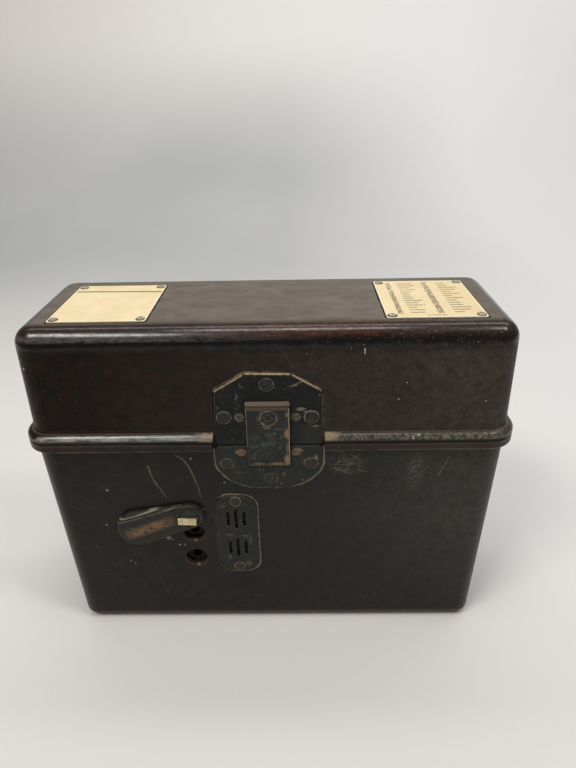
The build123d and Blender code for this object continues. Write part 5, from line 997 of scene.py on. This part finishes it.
grime = Mat("grime")
grime.set(color=grime.mix(grime.map(grime.noise(0.9, 4.0, 0.7), 0.35, 0.65), (0.0075, 0.0058, 0.0042), (0.020, 0.0145, 0.0095)),
          rough=grime.map(grime.noise(2.0, 3.0), 0.3, 0.7, 0.82, 0.95), normal=grime.bump(grime.noise(2.5, 3.0), 0.08, 0.6))
grime.b.inputs["Specular IOR Level"].default_value = 0.12
# a dark ring round each label plate: painted shade of the gap round it
for side, (cx, cy, w, d), seed in (("left", LABELS[0], 31), ("right", LABELS[1], 47)):
    ribbon(side + "_label_grime", stadium(cx, cy, w + 0.9, d + 0.9, 1.2, 4), top_place, 1.05, 0.0, 0.22, lambda a, b: 1.0, grime.mat, "lid", seed)

def bank(name, pts, place, width, cover, mat, body, seed):
    return ribbon(name, pts, place, width, -0.06, 0.20, cover, mat, body, seed)


bank("grille_outline_dust", stadium(gx, gv, 26.9, 65.3, 9.8), base_front, 1.45, lambda a, b: grille_cover(a, b) * 1.05, olive_tan, "case", 105)
bank("lower_outline_dust", rounded(offset_poly(LOWER_PLATE, 0.85), LOWER_ROUND), base_front, 1.6, lambda a, b: lower_cover(a, b) * 1.0, olive_tan, "case", 109)
bank("upper_outline_dust", rounded(offset_poly(UPPER_PLATE, 0.85), UPPER_ROUND), lid_front, 0.75, lambda a, b: upper_cover(a, b) * (0.75 if b < 31 else 0.35), olive_tan, "lid", 113)


def wall_level(node, x0, v0, r_in, ang, lid_side):
    """How far proud of the wall a node reaches near a point, and how wide it is there, in mm."""
    s_, c_ = math.sin(ang), math.cos(ang)
    off = OL if lid_side else OB
    level, wide = -9.0, 0.0
    o = NODES[node]
    pts = []
    for vert in o.data.vertices:
        q = o.matrix_world @ vert.co * 1000
        dy, dz = q.y - (YF - off), q.z - SEAM
        if lid_side:
            v_, n_ = dy * s_ + dz * c_, -dy * c_ + dz * s_
        else:
            v_, n_ = -dy * s_ + dz * c_, -dy * c_ - dz * s_
        d_ = math.hypot(q.x - x0, v_ - v0)
        if d_ < r_in:
            pts.append((n_, d_))
    if pts:
        level = max(n_ for n_, _ in pts)
        wide = max(d_ for n_, d_ in pts if n_ > level - 1.0)
    return level, wide


rust_dust = dust_mat("rust_dust", (0.36, 0.205, 0.095), (0.22, 0.115, 0.052))
olive_dust = dust_mat("olive_dust", (0.34, 0.315, 0.240), (0.21, 0.190, 0.135))
for i_, (sx_, sv_, node_, plate_, lid_side, mat_, amt_) in enumerate((
    (0, 35.8, "lid_latch_screws", "latch_upper_plate", True, olive_dust, 0.75),
    (-24.5, 15.5, "lid_latch_screws", "latch_upper_plate", True, olive_dust, 0.85),
    (24.5, 15.5, "lid_latch_screws", "latch_upper_plate", True, olive_dust, 0.95),
    (-15.8, 15.5, "lid_latch_rivets", "latch_upper_plate", True, olive_dust, 0.9),
    (15.8, 15.5, "lid_latch_rivets", "latch_upper_plate", True, tan_dust, 0.9),
    (-24.5, -16.0, "base_latch_screws", "latch_lower_plate", False, tan_dust, 0.9),
    (24.5, -16.0, "base_latch_screws", "latch_lower_plate", False, tan_dust, 1.0),
    (0.8, -26.8, "base_latch_screws", "latch_lower_plate", False, tan_dust, 0.7),
    (-15.5, -8.1, "base_latch_rivets", "latch_lower_plate", False, rust_dust, 1.1),
    (15.5, -8.1, "base_latch_rivets", "latch_lower_plate", False, tan_dust, 1.0),
)):
    ang_ = L_ANG if lid_side else B_ANG
    _, r_ = wall_level(node_, sx_, sv_, 6.0, ang_, lid_side)
    lv_, _ = wall_level(plate_, sx_, sv_, 9.0, ang_, lid_side)
    ring_ = [(sx_ + (r_ + 0.25) * math.cos(t_ * math.pi / 24), sv_ + (r_ + 0.25) * math.sin(t_ * math.pi / 24)) for t_ in range(48)]
    ribbon("ring_dust_%d" % i_, ring_, lid_front if lid_side else base_front, 0.75, lv_ - 0.02, 0.14, lambda a, b, k_=amt_: k_, mat_, "lid" if lid_side else "case", 60 + i_)
def islands(node):
    """Centre and radius in plan of each separate solid of a node, in mm."""
    o = NODES[node]
    bm = bmesh.new()
    bm.from_mesh(o.data)
    bm.verts.ensure_lookup_table()
    seen, found = set(), []
    for v0_ in bm.verts:
        if v0_.index in seen:
            continue
        stack, part = [v0_], []
        seen.add(v0_.index)
        while stack:
            a_ = stack.pop()
            part.append(o.matrix_world @ a_.co * 1000)
            for e_ in a_.link_edges:
                b_ = e_.other_vert(a_)
                if b_.index not in seen:
                    seen.add(b_.index)
                    stack.append(b_)
        lo_ = [min(q[k] for q in part) for k in range(3)]
        hi_ = [max(q[k] for q in part) for k in range(3)]
        found.append(((lo_[0] + hi_[0]) / 2, (lo_[1] + hi_[1]) / 2, max(hi_[0] - lo_[0], hi_[1] - lo_[1]) / 2, (lo_[2] + hi_[2]) / 2, (hi_[0] - lo_[0]) / 2))
    bm.free()
    return found


for i_, (cx_, cy_, r_, cz_, rx_) in enumerate(islands("grille_screws")):
    v_ = (cz_ - SEAM) / math.cos(B_ANG)
    lv_, _ = wall_level("grille_plate", cx_, v_, 8.0, B_ANG, False)
    ring_ = [(cx_ + (rx_ + 0.25) * math.cos(t_ * math.pi / 20), v_ + (rx_ + 0.25) * math.sin(t_ * math.pi / 20)) for t_ in range(40)]
    low_one = cz_ < 79.0
    ribbon("grille_ring_dust_%d" % i_, ring_, base_front, 0.9 if low_one else 0.6, lv_ - 0.02, 0.14, lambda a, b, k_=(1.2 if low_one else 0.6): k_, rust_dust if low_one else olive_dust, "case", 80 + i_)

# dark rings round the label screw heads: painted shade
for i_, (cx_, cy_, r_, cz_, rx_) in enumerate(islands("label_screws")):
    if r_ < 1.2:
        continue
    ring_ = [(cx_ + (r_ + 0.2) * math.cos(t_ * math.pi / 16), cy_ + (r_ + 0.2) * math.sin(t_ * math.pi / 16)) for t_ in range(32)]
    ribbon("screw_grime_%d" % i_, ring_, top_place, 0.75, 0.5, 0.14, lambda a, b: 0.9, grime.mat, "lid", 90 + i_)

ribbon("upper_plate_dust", rounded(offset_poly(UPPER_PLATE, 0.45), UPPER_ROUND), lid_front, 0.95, -1.18, 1.65, upper_cover, pale_dust, "lid", 13)

# ------------------------------------------------------------ stage
def floor_mat():
    m = Mat("floor_paint")
    x, y, z = m.sep(m.p)
    soft = m.noise(0.0016, 2.0, 0.5)
    fine = m.noise(0.5, 3.0, 0.6)
    c = m.mix(m.map(x, -700.0, 700.0), (0.77, 0.730, 0.685), (0.80, 0.790, 0.775))
    # painted shade: the floor and backdrop darken behind the object and to the left, standing for light falloff
    painted_falloff_shade = m.mul(m.map(y, 120.0, 850.0, smooth=True), m.map(z, 480.0, 100.0, smooth=True), m.map(x, 520.0, 0.0, 0.08, 1.0))
    c = m.mix(m.mul(painted_falloff_shade, 0.95), c, (0.455, 0.460, 0.445))
    # painted shade: the floor darkens towards the front
    c = m.mix(m.mul(m.map(y, -60.0, -330.0, smooth=True), 0.7), c, (0.665, 0.660, 0.645))
    c = m.mix(m.mul(m.map(soft, 0.35, 0.65), 0.25), c, (0.72, 0.70, 0.68))
    c = m.mix(m.mul(m.map(fine, 0.4, 0.7), 0.06), c, (0.6, 0.59, 0.57))
    m.set(color=c, rough=m.map(fine, 0.3, 0.7, 0.80, 0.9), normal=m.bump(fine, 0.05, 0.2))
    m.b.inputs["Specular IOR Level"].default_value = 0.2
    return m.mat


def sweep():
    """A floor that curves up into a backdrop, one smooth sheet."""
    prof = [(-4.0, 0.0)]
    y0, r = 0.9, 1.1
    for i in range(25):
        a = math.radians(90 * i / 24)
        prof.append((y0 + r * math.sin(a), r - r * math.cos(a)))
    prof.append((y0 + r, 1.7))
    bm = bmesh.new()
    xs = [-4.5 + 9.0 * i / 12 for i in range(13)]
    grid = [[bm.verts.new((xx, yy, zz - 0.0001)) for xx in xs] for yy, zz in prof]
    for i in range(len(grid) - 1):
        for j in range(len(xs) - 1):
            bm.faces.new((grid[i][j], grid[i][j + 1], grid[i + 1][j + 1], grid[i + 1][j]))
    mesh = bpy.data.meshes.new("backdrop")
    bm.to_mesh(mesh)
    bm.free()
    for f in mesh.polygons:
        f.use_smooth = True
    o = bpy.data.objects.new("backdrop", mesh)
    scene.collection.objects.link(o)
    mesh.materials.append(floor_mat())
    return o


sweep()

world = bpy.data.worlds.new("studio_world")
scene.world = world
world.use_nodes = True
bg = world.node_tree.nodes.get("Background")
bg.inputs[0].default_value = (0.97, 0.98, 1.0, 1)
bg.inputs[1].default_value = 0.14


def area(name, loc, target, sx, sy, power, color=(1, 1, 1)):
    d = bpy.data.lights.new(name, "AREA")
    d.shape = "RECTANGLE"
    d.size, d.size_y = sx, sy
    d.energy = power
    d.color = color
    o = bpy.data.objects.new(name, d)
    o.location = loc
    o.rotation_mode = "QUATERNION"
    o.rotation_quaternion = (Vector(target) - Vector(loc)).to_track_quat("-Z", "Y")
    scene.collection.objects.link(o)
    return o


area("key_left", (-0.60, -0.66, 1.40), (-0.08, -0.05, 0.1), 0.52, 0.30, 9.6, (1.0, 0.985, 0.96))
area("key_mid", (0.0, -0.16, 1.5), (0.0, -0.05, 0.1), 0.60, 0.22, 4.2)
area("key_right", (0.75, -0.40, 1.4), (0.1, -0.02, 0.1), 0.25, 0.30, 4.2)
area("wall_wash", (0.30, 0.55, 1.85), (0.30, 2.0, 0.75), 2.6, 0.7, 29.0)
area("floor_wash", (0.5, -1.2, 1.3), (0.3, -0.4, 0.0), 2.0, 0.5, 2.0).visible_glossy = False

# ------------------------------------------------------------ camera
cam_data = bpy.data.cameras.new("camera")
cam = bpy.data.objects.new("camera", cam_data)
scene.collection.objects.link(cam)
scene.camera = cam
cam_data.sensor_fit = "AUTO"
cam_data.sensor_width = 36.0
cam_data.lens = 564.196 / 768 * 36
cam_data.clip_start, cam_data.clip_end = 0.01, 50
yaw, pitch, roll = -0.0178024, 0.4937572, 0.0202489
fwd = Vector((math.sin(yaw) * math.cos(pitch), math.cos(yaw) * math.cos(pitch), -math.sin(pitch)))
right0 = Vector((math.cos(yaw), -math.sin(yaw), 0))
down0 = fwd.cross(right0)
right = right0 * math.cos(roll) + down0 * math.sin(roll)
down = down0 * math.cos(roll) - right0 * math.sin(roll)
rot = Matrix((right, -down, -fwd)).transposed()
cam.matrix_world = Matrix.Translation((0.016533, -0.316479, 0.331846)) @ rot.to_4x4()

scene.view_settings.view_transform = "Standard"
scene.view_settings.look = "None"
scene.view_settings.exposure = 0.0
scene.view_settings.gamma = 1.0
